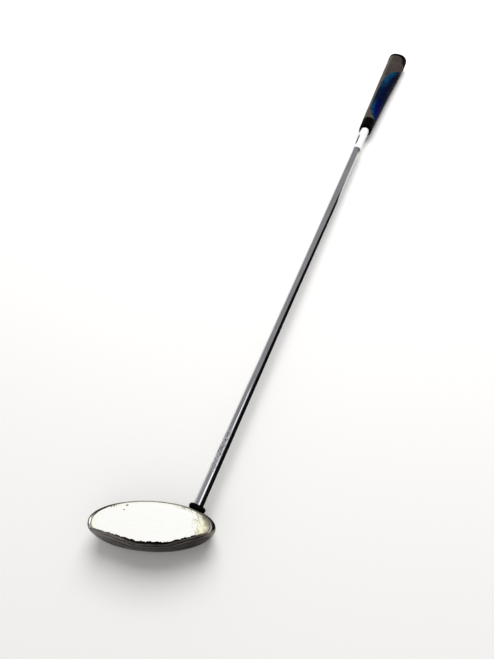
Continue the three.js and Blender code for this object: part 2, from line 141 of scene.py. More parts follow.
# Marks of the head, from the middle of the face: nicks of the enamel as along, across and size, and the
# stretches over which a tone of the metal comes in: painted shade on the rim at the heel and at the toe's
# upper corner, the side to the sole, painted light on the sole toward the toe and painted shade on it
# toward the heel
FACE_NICKS = tuple((x * MM, y * MM, size * MM) for x, y, size in (
    (-22.7, 13.2, 0.95), (-24.6, 9.6, 0.42), (-36, 11.3, 0.5), (-33.6, 11.9, 0.6), (-31.6, 12.2, 0.45),
    (-14, 14.6, 0.3)))
NICK_UNEVEN_SHARE = 3
RIM_HEEL_SHADE = (20 * MM, 38 * MM)
RIM_TOE_SHADE = (-24 * MM, -36 * MM)
RIM_UPPER_SHADE = (3 * MM, 6 * MM)
SOLE_SIDE = (-4 * MM, -7 * MM)
SOLE_TOE_LIGHT = (-22 * MM, -46 * MM)
SOLE_HEEL_SHADE = (-24 * MM, 8 * MM)
SOLE_WANDER = 2.5 * MM
# Tones of the metal: of the rim, outward from a share of the face, a painted dark line at the enamel's
# edge, a painted highlight strip, then mid grey; and of the bands behind the face, light and dark bands of
# painted reflection along the facets
RIM_TONES_FROM = 0.2
RIM_TONES = ((0.716, (60, 56, 52)), (0.728, (190, 186, 182)), (0.74, (226, 223, 219)),
             (0.757, (206, 202, 197)), (0.78, (120, 116, 110)))
SOLE_REFLECTION_TONES = ((0.0, (150, 144, 138)), (0.026, (128, 122, 117)), (0.032, (26, 23, 21)), (0.05, (30, 26, 24)),
              (0.062, (136, 131, 127)), (0.12, (140, 134, 130)), (0.16, (36, 32, 31)), (0.21, (38, 34, 33)),
              (0.25, (112, 105, 102)), (0.31, (106, 99, 96)), (0.36, (36, 32, 31)), (0.44, (42, 38, 37)),
              (0.5, (78, 73, 71)), (1.0, (74, 70, 68)))

# Effects that several materials share: the size of the patches of scratches and how sharp these are, and
# how far and how finely the outline of a speck is bent
SCRATCH_PATCHES = 55.0
SCRATCH_CONTRAST = 9.0
SPECK_BEND_SHARE = 0.0015
SPECK_BENDS = 700.0

# Hosel, ferrule and shaft, with the scuffed place above the head and the shade below the label
BOSS_RADIUS = 7.5 * MM
BORE_DEPTH = 24 * MM
FERRULE_RADIUS = 7.7 * MM
FERRULE_EDGE = 2.1 * MM
TIP_RADIUS = 4.5 * MM
BUTT_RADIUS = 7.35 * MM
SHAFT_WALL = 0.6 * MM
PARALLEL = 240 * MM
BORE_PLAY = 0.12 * MM
SCUFF_FROM = 42 * MM
SCUFF_TO = 74 * MM
SCUFF_FADE_SHARE = 0.012
SCUFF_ACROSS = (2.2 * MM, 1.0 * MM)
SHADE_FROM = 14 * MM
SHADE_TO = 4 * MM
SHADE_ACROSS = (2.4 * MM, 4 * MM)
# Paper label, its winding, and the painted shade of a slit that is drawn on it
PAPER = 0.16 * MM
PAPER_PLAY = 0.05 * MM
PAPER_TURN_DEGREES = 405
PAPER_END_DEGREES = -130
PAPER_STEP_DEGREES = 4.5
PAPER_LIFT = 0.7 * MM
PAPER_LIFT_STEPS = 4
SLIT_ACROSS = (-8 * MM, 0.0)
SLIT_ACROSS_STOPS = ((0.22, 0.0), (0.24, 1.0), (0.58, 1.0), (0.62, 0.0))
SLIT_ALONG_STOPS = ((0.14, 0.0), (0.2, 1.0), (0.54, 1.0), (0.7, 0.0))
SLIT_RISE = 1 * MM

# Grip: mouth and butt sections, how they grow, and the zones of its four pieces
MOUTH_RADIUS = 10 * MM
BUTT_FLAT = 14.2 * MM
BUTT_PALM = 19 * MM
BUTT_HALF = 13.2 * MM
MOUTH_EDGE = 1.1 * MM
MOUTH_EDGE_RUN = 5 * MM
GROWTH_ALONG_SHARES = (0, 0.15, 0.32, 0.48, 0.63, 0.8, 1)
GROWTH_FLAT_SHARES = (0, 0.22, 0.34, 0.55, 0.72, 0.86, 1)
GROWTH_PALM_SHARES = (0, 0.14, 0.32, 0.5, 0.72, 0.97, 1)
GROWTH_HALF_SHARES = (0, 0.15, 0.34, 0.55, 0.74, 0.92, 1)
THUMB_EXPONENT = 2.8
PALM_EXPONENT = 2.2
SQUARING_SHARE = 0.3
COLLAR = 25 * MM
PANEL_SKIN = 1.4 * MM
PANEL_FROM_MOUTH = COLLAR + SEAT_GAP
PANEL_FROM_BUTT = 51 * MM
PANEL_EDGE_SHARES = (
    (0, 0.8), (0.019, 0.5), (0.047, 0.12), (0.104, -0.32), (0.197, -0.64), (0.374, -0.66), (0.551, -0.62),
    (0.655, -0.52), (0.748, -0.27), (0.823, 0.18), (0.869, 0.72), (0.917, 1.35), (1, 2.15))
PANEL_EDGE_STEPS = 4
GROOVE = 0.12 * MM
CAP_RIM = 13 * MM
CAP_STRAP = 30 * MM
CAP_STRAP_INSET = 4.8 * MM
CAP_PROUD = 1 * MM
CAP_RIM_PROUD = 0.5 * MM
CAP_EDGE = 8 * MM
CAP_WALL = 4 * MM
VENT_RADIUS = 1.5 * MM
RUBBER_EDGE = 0.3 * MM
REACH = 30 * MM
# Tones of the grip: the paler mouth, the pinker butt, the painted highlight along the left edge, the blues
# of the inlay and the painted shade toward its palm side
PALE_LENGTH = 90 * MM
PINK_LENGTH = 60 * MM
LIT_EDGE_ACROSS = (-5.5 * MM, -9.5 * MM)
BLUE_WANDER_ALONG = 36 * MM
TEAL_WANDER_ACROSS = 9 * MM
TEAL_INWARD = (7 * MM, 3 * MM)
PALM_SHADE_ACROSS = (8 * MM, 14 * MM)

# Fineness
HEAD_POINTS = 176
RIM_RINGS = 9
BACK_RINGS = 16
ROUND_POINTS = 72
GRIP_POINTS = 96
GRIP_RINGS = 64
EDGE_RINGS = 8
WELD = 0.001 * MM
CUT_WELD = 0.0001 * MM


def leave():
    """Back to object mode."""
    bpy.ops.object.mode_set(mode="OBJECT")


def deselect():
    """Back to object mode with nothing selected."""
    if bpy.context.mode != "OBJECT":
        leave()
    bpy.ops.object.select_all(action="DESELECT")


def everything():
    """Selects the whole mesh that is open in edit mode."""
    bpy.ops.mesh.select_all(action="SELECT")


def face_out():
    """Selects the whole mesh and turns its faces outward."""
    everything()
    bpy.ops.mesh.normals_make_consistent(inside=False)


def extrude(way):
    """Extrudes what is selected by a move."""
    bpy.ops.mesh.extrude_region_move(TRANSFORM_OT_translate={"value": way})


def begin(name):
    """Names the primitive just added and opens it in edit mode."""
    piece = bpy.context.active_object
    piece.name = name
    piece.data.name = name
    bpy.ops.object.mode_set(mode="EDIT")
    return piece


def choose(piece, kind, test):
    """Selects in edit mode the vertices, edges or faces that pass a test."""
    bpy.ops.mesh.select_mode(type=kind)
    bpy.ops.mesh.select_all(action="DESELECT")
    mesh = bmesh.from_edit_mesh(piece.data)
    for part in {"VERT": mesh.verts, "EDGE": mesh.edges, "FACE": mesh.faces}[kind]:
        if test(part):
            part.select_set(True)
    mesh.select_flush_mode()
    bmesh.update_edit_mesh(piece.data)


def activate(piece):
    """Makes one piece the only selected and active one."""
    deselect()
    piece.select_set(True)
    bpy.context.view_layer.objects.active = piece


def apply_modifier(piece, kind, **settings):
    """Adds a modifier with its settings and applies it."""
    activate(piece)
    modifier = piece.modifiers.new(kind.title(), kind)
    for key, value in settings.items():
        setattr(modifier, key, value)
    bpy.ops.object.modifier_apply(modifier=modifier.name)


def join_or_cut(piece, tool, operation):
    """Joins a tool to a piece, cuts it away or keeps the common part, and removes the tool."""
    apply_modifier(piece, "BOOLEAN", object=tool, operation=operation, solver="EXACT")
    bpy.data.objects.remove(tool, do_unlink=True)


def soften_edges(piece, width, angle_degrees=28, segments=2):
    """Rounds the sharp edges of a piece."""
    apply_modifier(piece, "BEVEL", width=width, segments=segments, limit_method="ANGLE",
                   angle_limit=math.radians(angle_degrees), miter_outer="MITER_ARC")


def put(piece, place):
    """Puts a piece modelled in its own frame in its place, which goes into the mesh."""
    piece.matrix_world = place
    activate(piece)
    bpy.ops.object.transform_apply(location=True, rotation=True, scale=True)


def complete(piece, material, node, smooth_degrees=32):
    """Gives a piece its finish and ties it to the body and the node that it stands for."""
    activate(piece)
    bpy.ops.object.mode_set(mode="EDIT")
    everything()
    bpy.ops.mesh.remove_doubles(threshold=WELD)
    face_out()
    if bmesh.from_edit_mesh(piece.data).calc_volume(signed=True) < 0:
        bpy.ops.mesh.flip_normals()
    leave()
    bpy.ops.object.shade_smooth_by_angle(angle=math.radians(smooth_degrees))
    piece.data.materials.clear()
    piece.data.materials.append(material)
    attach(piece, "root")
    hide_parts(node)


def mix(low, high, share):
    return low + (high - low) * share


# Frames: the head turned by its lie on the table, and the shaft's axis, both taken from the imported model
def head_place():
    """The head's own frame: its face centred, and turned by the lie."""
    turn = Matrix.Rotation(math.pi / 2 - LIE, 4, "Z")
    back = turn.inverted()
    points = [back @ vertex.co for vertex in frame["nodes"]["face_enamel"].data.vertices]
    across = [point.x for point in points]
    crown = max(point.y for point in points) - (FACE_CROWN - SEAT_GAP)
    return turn @ Matrix.Translation(((min(across) + max(across)) / 2, crown, 0))


def shaft_place():
    """The shaft's own frame: from the seat of the ferrule, along the axis to the butt."""
    mount = next(row for row in frame["record"]["mounts"] if row["name"] == "butt_end")
    along = Vector(mount["axis"]).normalized()
    points = [vertex.co for vertex in frame["nodes"]["shaft"].data.vertices]
    bottom = min(point.dot(along) for point in points)
    ring = [point for point in points if point.dot(along) < bottom + SHAFT_WALL / 2]
    seat = sum(ring, Vector()) / len(ring) + along * (BORE_DEPTH - SEAT_GAP)
    palm = Vector((1, 0, 0))
    down = along.cross(palm)
    return Matrix.Translation(seat) @ Matrix((palm, down, along)).transposed().to_4x4()


HEAD_PLACE = head_place()
SHAFT_PLACE = shaft_place()


def span(node):
    """Where a node starts and ends along the shaft, up from the seat of the ferrule."""
    back = SHAFT_PLACE.inverted()
    along = [(back @ vertex.co).z for vertex in frame["nodes"][node].data.vertices]
    return min(along), max(along)


SHAFT_BOTTOM, SHAFT_TOP = span("shaft")
FERRULE_BOTTOM, FERRULE_TOP = span("ferrule")
LABEL_BOTTOM, LABEL_TOP = span("shaft_label")
MOUTH = span("grip_collar")[0]
GRIP_END = span("grip_end_cap")[1]
GRIP_LENGTH = GRIP_END - MOUTH
TAPER_START = FERRULE_TOP + PARALLEL


# Nodes of a material
def add(tree, kind, inputs=None, **settings):
    """A shader node of one kind, with its settings and its input values or links."""
    made = tree.nodes.new("ShaderNode" + kind)
    for key, value in settings.items():
        setattr(made, key, value)
    for key, value in (inputs or {}).items():
        if isinstance(value, bpy.types.NodeSocket):
            tree.links.new(value, made.inputs[key])
        else:
            made.inputs[key].default_value = value
    return made


def tone(red, green, blue):
    """A colour as seen, in 0 to 255, made linear."""
    def linear(value):
        share = value / 255
        return share / 12.92 if share <= 0.04045 else ((share + 0.055) / 1.055) ** 2.4
    return tuple(linear(value) for value in (red, green, blue))


def ramp(tree, factor, *stops):
    """A colour ramp through stops of a place and a grey, or a place and a colour as seen."""
    made = add(tree, "ValToRGB", {"Fac": factor})
    points = made.color_ramp.elements
    while len(points) < len(stops):
        points.new(0.5)
    for point, (place, value) in zip(points, stops):
        point.position = place
        point.color = (*tone(*value), 1) if isinstance(value, tuple) else (value, value, value, 1)
    return made.outputs["Color"]


def blend(tree, factor, first, second, mode="MIX"):
    """Two colours mixed by a factor."""
    colours = [colour if isinstance(colour, bpy.types.NodeSocket) else (*colour, 1)
               for colour in (first, second)]
    return add(tree, "Mix", {0: factor, 6: colours[0], 7: colours[1]}, data_type="RGBA",
               blend_type=mode).outputs[2]


def figure(tree, operation, *values):
    """One sum of the Math node."""
    return add(tree, "Math", dict(enumerate(values)), operation=operation).outputs[0]


def times(tree, first, second):
    return figure(tree, "MULTIPLY", first, second)


def laid(tree, base, mask, colour, strength=None, mode="MIX"):
    """A colour as seen laid over a base where a mask is, at a strength."""
    factor = mask if strength is None else times(tree, mask, strength)
    return blend(tree, factor, base, tone(*colour), mode)


def between(tree, value, low, high):
    """How far a value is on its way from one end to the other, from 0 to 1."""
    return add(tree, "MapRange", {"Value": value, "From Min": low, "From Max": high}).outputs[0]


def object_place(tree):
    return add(tree, "TexCoord").outputs["Object"]


def new_group(name, inputs, outputs):
    """An empty node group with named sockets, and the results of its input node."""
    group = bpy.data.node_groups.new(name, "ShaderNodeTree")
    for label, value in inputs.items():
        kind = "NodeSocketVector" if isinstance(value, tuple) else "NodeSocketFloat"
        group.interface.new_socket(name=label, in_out="INPUT", socket_type=kind).default_value = value
    for label in outputs:
        group.interface.new_socket(name=label, in_out="OUTPUT", socket_type="NodeSocketFloat")
    return group, group.nodes.new("NodeGroupInput").outputs


def close_group(group, **results):
    """Links a group's results to its outputs."""
    out = group.nodes.new("NodeGroupOutput")
    for label, socket in results.items():
        group.links.new(socket, out.inputs[label])
    return group


def grain_group():
    """Fine even grain, such as a cast skin or the stipple of moulded rubber."""
    group, given = new_group("fine_grain", {"Size": 1400.0, "Patches": 60.0}, ("Height", "Patch"))
    where = object_place(group)
    fine = add(group, "TexNoise", {"Vector": where, "Scale": given["Size"], "Detail": 3.0,
                                   "Roughness": 0.55})
    broad = add(group, "TexNoise", {"Vector": where, "Scale": given["Patches"], "Detail": 4.0,
                                    "Roughness": 0.6})
    return close_group(group, Height=fine.outputs[0], Patch=broad.outputs[0])


def scratch_group():
    """Scratches and drag marks that run one way, in uneven patches."""
    group, given = new_group("scratches", {"Turn": (0.0, 0.0, 0.0), "Stretch": (1.0, 12.0, 1.0),
                                           "Size": 300.0, "Cover": 0.5}, ("Mask", "Height"))
    where = object_place(group)
    turned = add(group, "Mapping", {"Vector": where, "Rotation": given["Turn"]})
    drawn = add(group, "VectorMath", {0: turned.outputs[0], 1: given["Stretch"]}, operation="MULTIPLY")
    lines = add(group, "TexNoise", {"Vector": drawn.outputs[0], "Scale": given["Size"], "Detail": 5.0,
                                    "Roughness": 0.7}).outputs[0]
    patches = add(group, "TexNoise", {"Vector": where, "Scale": SCRATCH_PATCHES, "Detail": 2.0})
    strong = figure(group, "SUBTRACT", lines, figure(group, "SUBTRACT", 1.0, given["Cover"]))
    held = add(group, "Clamp", {"Value": times(group, strong, SCRATCH_CONTRAST)})
    return close_group(group, Mask=times(group, held.outputs[0], patches.outputs[0]), Height=lines)


def speck_group():
    """Scattered specks of dirt of uneven outline."""
    group, given = new_group("specks", {"Size": 320.0, "Reach": 0.2, "Share": 0.3}, ("Mask",))
    where = object_place(group)
    bent = add(group, "TexNoise", {"Vector": where, "Scale": SPECK_BENDS})
    moved = add(group, "Mix", {0: SPECK_BEND_SHARE, 4: where, 5: bent.outputs["Color"]}, data_type="VECTOR")
    cells = add(group, "TexVoronoi", {"Vector": moved.outputs[1], "Scale": given["Size"]}).outputs
    near = figure(group, "LESS_THAN", cells["Distance"], given["Reach"])
    pick = add(group, "SeparateColor", {"Color": cells["Color"]})
    kept = figure(group, "LESS_THAN", pick.outputs[0], given["Share"])
    return close_group(group, Mask=times(group, near, kept))


GRAIN = grain_group()
SCRATCHES = scratch_group()
SPECKS = speck_group()


def use(tree, group, **inputs):
    """Places a group in a material with its own values, and gives its results."""
    made = tree.nodes.new("ShaderNodeGroup")
    made.node_tree = group
    for key, value in inputs.items():
        made.inputs[key].default_value = value
    return made.outputs


def new_material(name, **sockets):
    """A material with a Principled BSDF, whose plain values are set on its own sockets."""
    material = bpy.data.materials.new(name)
    material.use_nodes = True
    shader = material.node_tree.nodes["Principled BSDF"]
    for key, value in sockets.items():
        shader.inputs[key.replace("_", " ")].default_value = value
    return material.node_tree, material


def close_material(material, height, strength, depth, **results):
    """Links a material's results, and a bump from one height, to its shader."""
    tree = material.node_tree
    shader = tree.nodes["Principled BSDF"]
    bump = add(tree, "Bump", {"Height": height, "Strength": strength, "Distance": depth})
    for key, socket in {**results, "Normal": bump.outputs[0]}.items():
        tree.links.new(socket, shader.inputs[key.replace("_", " ")])
    return material


def head_point(tree):
    """Where a point lies on the head: along and across the face, and up from its middle."""
    centre = HEAD_PLACE.translation + Vector((0, 0, HEAD_DEPTH))
    placed = add(tree, "Mapping", {"Vector": object_place(tree), "Location": tuple(-centre)})
    return add(tree, "Mapping", {"Vector": placed.outputs[0], "Rotation": HEAD_GRAIN_TURN}).outputs[0]


def face_ring(tree, local, half, crown):
    """How far out a point lies on the face, 1 where it meets the half length or the crown."""
    shares = add(tree, "VectorMath", {0: local, 1: (1 / half, 1 / crown, 0.0)}, operation="MULTIPLY")
    return add(tree, "VectorMath", {0: shares.outputs[0]}, operation="LENGTH").outputs["Value"]


def shaft_point(tree):
    """Where a point lies on the shaft or the grip: across it, and up the table from the ferrule's seat."""
    seat = SHAFT_PLACE.translation
    placed = add(tree, "Mapping", {"Vector": object_place(tree), "Location": tuple(-seat)})
    split = add(tree, "SeparateXYZ", {"Vector": placed.outputs[0]}).outputs
    return split["X"], split["Y"]


def cast_metal():
    """Linished metal: a rim with a painted highlight strip between painted dark lines, painted shade at its
    heel and its toe's upper corner, and light and dark bands of painted reflection along the facets, with
    brushed streaks, painted light toward the toe and painted shade toward the heel.
    """
    tree, material = new_material("cast_metal", Metallic=1.0, Specular_Tint=(0.62, 0.6, 0.61, 1))
    local = head_point(tree)
    split = add(tree, "SeparateXYZ", {"Vector": local}).outputs
    grain = use(tree, GRAIN, Size=900.0, Patches=70.0)
    brushed = use(tree, SCRATCHES, Turn=HEAD_GRAIN_TURN, Stretch=(1.0, 6.0, 6.0), Size=60.0, Cover=0.55)

    # The rim: a painted dark line at the enamel's edge, a painted highlight strip, then mid grey.
    ring = face_ring(tree, local, FACE_HALF + RIM_ENDS, FACE_CROWN + RIM_CROWN)
    out = figure(tree, "SUBTRACT", ring, RIM_TONES_FROM)
    # Painted shade: greys the rim toward the heel and darkens the rim at the toe's upper corner.
    heel = between(tree, split["X"], *RIM_HEEL_SHADE)
    heel_shaded = laid(tree, ramp(tree, out, *RIM_TONES), heel, (138, 133, 122), 0.88)
    toe = between(tree, split["X"], *RIM_TOE_SHADE)
    corner = times(tree, toe, between(tree, split["Y"], *RIM_UPPER_SHADE))
    corner_shaded = laid(tree, heel_shaded, corner, (38, 34, 32), 0.85)
    # Painted shade along the rim's outer edge: a dark line, wider at the toe and narrower at the heel.
    shift = figure(tree, "SUBTRACT", times(tree, toe, 0.018), times(tree, heel, 0.026))
    outer = ramp(tree, figure(tree, "ADD", out, shift), (0.765, 0.0), (0.775, 0.9), (0.8, 1.0))
    painted_rim = laid(tree, corner_shaded, outer, (22, 20, 19), 0.9)

    # Behind the face: light and dark bands of painted reflection along the facets by depth, with brushed
    # streaks.
    down = add(tree, "VectorMath", {0: local, 1: (0.0, -math.sin(LOFT), -math.cos(LOFT))},
               operation="DOT_PRODUCT").outputs["Value"]
    wander = times(tree, figure(tree, "SUBTRACT", brushed["Height"], 0.5), SOLE_WANDER)
    reflection_bands = ramp(tree, between(tree, figure(tree, "ADD", down, wander), 0.0, HEAD_DEPTH), *SOLE_REFLECTION_TONES)
    streaks = ramp(tree, brushed["Height"], (0.38, 0.14), (0.47, 0.5), (0.56, 1.0))
    streaked = blend(tree, 0.8, reflection_bands, streaks, "MULTIPLY")
    # Painted light toward the toe and painted shade toward the heel on the side to the sole.
    toe_lit = laid(tree, streaked, between(tree, split["X"], *SOLE_TOE_LIGHT), (150, 145, 141), 0.7)
    shaded = laid(tree, toe_lit, between(tree, split["X"], *SOLE_HEEL_SHADE), (120, 108, 114), 0.6, "MULTIPLY")

    whole = blend(tree, between(tree, split["Y"], *SOLE_SIDE), painted_rim, shaded)
    rough = ramp(tree, grain["Patch"], (0.3, 0.36), (0.7, 0.2))
    height = figure(tree, "ADD", grain["Height"], brushed["Height"])
    return close_material(material, height, strength=0.25, depth=0.05 * MM, Base_Color=whole,
                          Roughness=rough)


def white_enamel():
    """White enamel, yellowed and scuffed toward the heel, darkened at its heel end by painted shade, and
    nicked by its edges.
    """
    tree, material = new_material("white_enamel", Coat_Weight=0.25, Coat_Roughness=0.12)
    local = head_point(tree)
    along = between(tree, add(tree, "SeparateXYZ", {"Vector": local}).outputs["X"], -FACE_HALF, FACE_HALF)
    grain = use(tree, GRAIN, Size=500.0, Patches=160.0)
    blotches = use(tree, GRAIN, Size=230.0, Patches=420.0)
    scuffs = use(tree, SCRATCHES, Turn=(0.0, 0.0, 0.5), Stretch=(1.0, 3.5, 3.5), Size=210.0, Cover=0.52)
    specks = use(tree, SPECKS, Size=330.0, Reach=0.2, Share=0.4)
    uneven = figure(tree, "SUBTRACT", grain["Patch"], 0.5)
    mottled = figure(tree, "ADD", uneven, figure(tree, "SUBTRACT", blotches["Patch"], 0.5))
    place = figure(tree, "ADD", along, times(tree, mottled, 0.2))
    rim = figure(tree, "ADD", face_ring(tree, local, FACE_HALF, FACE_CROWN), times(tree, uneven, 0.16))

    yellowed = ramp(tree, place, (0.0, (254, 254, 252)), (0.89, (254, 254, 250)), (0.92, (252, 249, 216)),
                    (0.99, (224, 217, 182)))
    edged = laid(tree, yellowed, ramp(tree, rim, (0.9, 0.0), (0.98, 1.0)), (250, 248, 218), 0.45)
    # Painted shade greying the heel end of the face.
    heel_end_shade = times(tree, ramp(tree, rim, (0.9, 0.0), (0.99, 1.0)),
                     ramp(tree, along, (0.86, 0.0), (0.94, 1.0)))
    heel_shaded = laid(tree, edged, heel_end_shade, (140, 136, 128))
    near_heel = ramp(tree, place, (0.86, 0.0), (0.91, 1.0))
    near_edge = times(tree, ramp(tree, rim, (0.88, 0.0), (0.93, 1.0)),
                      ramp(tree, along, (0.66, 0.0), (0.76, 1.0)))
    marks = times(tree, scuffs["Mask"], figure(tree, "MAXIMUM", near_heel, near_edge))
    scuffed = laid(tree, heel_shaded, marks, (104, 98, 66), 1.5)
    dirt = times(tree, specks["Mask"], ramp(tree, rim, (0.93, 0.0), (0.99, 1.0)))
    spotted = laid(tree, scuffed, dirt, (150, 144, 108))
    flat = add(tree, "VectorMath", {0: local, 1: (1.0, 1.0, 0.0)}, operation="MULTIPLY").outputs[0]
    nicked = 0.0
    for x, y, radius in FACE_NICKS:
        away = add(tree, "VectorMath", {0: flat, 1: (x, y, 0.0)}, operation="DISTANCE").outputs["Value"]
        bent = figure(tree, "SUBTRACT", away, times(tree, mottled, radius * NICK_UNEVEN_SHARE))
        inside = figure(tree, "LESS_THAN", bent, radius)
        nicked = figure(tree, "MAXIMUM", nicked, inside)
    nicks = laid(tree, spotted, nicked, (122, 114, 78), 0.85)
    rough = ramp(tree, grain["Patch"], (0.35, 0.22), (0.65, 0.4))
    return close_material(material, grain["Height"], strength=0.06, depth=0.05 * MM, Base_Color=nicks,
                          Roughness=rough)


def black_rubber(name, painted_sheen, size):
    """Black rubber with a fine moulded skin and patches of painted sheen in a given tone."""
    tree, material = new_material(name, Specular_IOR_Level=0.015)
    grain = use(tree, GRAIN, Size=size, Patches=160.0)
    body = ramp(tree, grain["Patch"], (0.35, (1, 1, 1)), (0.72, painted_sheen))
    rough = ramp(tree, grain["Patch"], (0.3, 0.48), (0.7, 0.72))
    return close_material(material, grain["Height"], strength=0.3, depth=0.06 * MM, Base_Color=body,
                          Roughness=rough)


def chrome_plate():
    """Bright chrome with faint drawn lines, a scuffed place above the head and small pits."""
    tree, material = new_material("chrome_plate", Metallic=1.0)
    across, up = shaft_point(tree)
    drawn = use(tree, SCRATCHES, Stretch=(10.0, 1.0, 10.0), Size=120.0, Cover=0.46)
    rubbed = use(tree, SCRATCHES, Stretch=(2.5, 1.0, 2.5), Size=420.0, Cover=0.5)
    specks = use(tree, SPECKS, Size=420.0, Reach=0.2, Share=0.04)
    grain = use(tree, GRAIN, Size=300.0, Patches=26.0)
    body = ramp(tree, grain["Patch"], (0.35, (182, 182, 188)), (0.7, (198, 198, 203)))
    marked = laid(tree, body, drawn["Mask"], (120, 118, 122), 0.3)
    low, high = SCUFF_FROM / SHAFT_TOP, SCUFF_TO / SHAFT_TOP
    worn = ramp(tree, between(tree, up, 0.0, SHAFT_TOP), (low - SCUFF_FADE_SHARE, 0.0), (low, 1.0),
                (high, 1.0), (high + SCUFF_FADE_SHARE, 0.0))
    scuffed = times(tree, worn, between(tree, across, *SCUFF_ACROSS))
    paled = laid(tree, marked, scuffed, (214, 214, 219), 0.6)
    flecked = laid(tree, paled, times(tree, scuffed, rubbed["Mask"]), (70, 69, 76), 2.2)
    pitted = laid(tree, flecked, specks["Mask"], (62, 58, 56))
    under = between(tree, up, LABEL_BOTTOM - SHADE_FROM, LABEL_BOTTOM - SHADE_TO)
    shade = times(tree, under, between(tree, across, *SHADE_ACROSS))
    shadowed = laid(tree, pitted, shade, (16, 15, 17), 0.95)
    smooth = ramp(tree, grain["Patch"], (0.35, 0.06), (0.7, 0.14))
    rough = figure(tree, "ADD", smooth, times(tree, scuffed, 0.3))
    return close_material(material, drawn["Height"], strength=0.05, depth=0.02 * MM, Base_Color=shadowed,
                          Roughness=rough)


def label_paper():
    """Coated white paper, faintly soiled, with the painted shade of a slit along the left of its upper
    side.
    """
    tree, material = new_material("label_paper", Sheen_Weight=0.1)
    across, up = shaft_point(tree)
    beside = ramp(tree, between(tree, across, *SLIT_ACROSS), *SLIT_ACROSS_STOPS)
    axis = (SHAFT_PLACE @ Vector((0, 0, (LABEL_BOTTOM + LABEL_TOP) / 2))).z
    height = add(tree, "SeparateXYZ", {"Vector": object_place(tree)}).outputs["Z"]
    upper = between(tree, height, axis, axis + SLIT_RISE)
    along = ramp(tree, between(tree, up, LABEL_BOTTOM, LABEL_TOP), *SLIT_ALONG_STOPS)
    grain = use(tree, GRAIN, Size=2200.0, Patches=180.0)
    specks = use(tree, SPECKS, Size=700.0, Reach=0.2, Share=0.12)
    body = ramp(tree, grain["Patch"], (0.35, (236, 236, 235)), (0.6, (252, 252, 252)))
    soiled = laid(tree, body, specks["Mask"], (128, 128, 130), 0.6)
    # Painted shade of a slit: a dark strip on the upper left of the label.
    slit_shade = laid(tree, soiled, times(tree, times(tree, beside, upper), along), (16, 15, 14))
    rough = ramp(tree, grain["Patch"], (0.3, 0.42), (0.7, 0.6))
    return close_material(material, grain["Height"], strength=0.15, depth=0.03 * MM, Base_Color=slit_shade,
                          Roughness=rough)


def taupe_rubber():
    """Grey-brown grip rubber with a fine stipple, a painted highlight along its left edge, a paler mouth
    and a pinker butt.
    """
    tree, material = new_material("taupe_rubber", Specular_IOR_Level=0.08)
    across, up = shaft_point(tree)
    grain = use(tree, GRAIN, Size=1500.0, Patches=45.0)
    worn = use(tree, SCRATCHES, Stretch=(4.0, 1.0, 4.0), Size=110.0, Cover=0.42)
    body = ramp(tree, grain["Patch"], (0.32, (48, 42, 39)), (0.5, (57, 50, 47)), (0.7, (70, 62, 57)))
    near_mouth = between(tree, up, MOUTH + PALE_LENGTH, MOUTH + COLLAR)
    near_butt = between(tree, up, GRIP_END - PINK_LENGTH, GRIP_END)
    paler = laid(tree, body, near_mouth, (82, 78, 69), 0.6)
    pinker = laid(tree, paler, near_butt, (58, 50, 50), 0.6)
    rubbed = laid(tree, pinker, worn["Mask"], (92, 87, 77), 0.4)
    # Painted highlight along the left edge of the sleeve.
    edged = laid(tree, rubbed, between(tree, across, *LIT_EDGE_ACROSS), (94, 93, 85), 0.6)
    rough = ramp(tree, grain["Patch"], (0.3, 0.75), (0.7, 0.6))
    return close_material(material, grain["Height"], strength=0.5, depth=0.08 * MM, Base_Color=edged,
                          Roughness=rough)


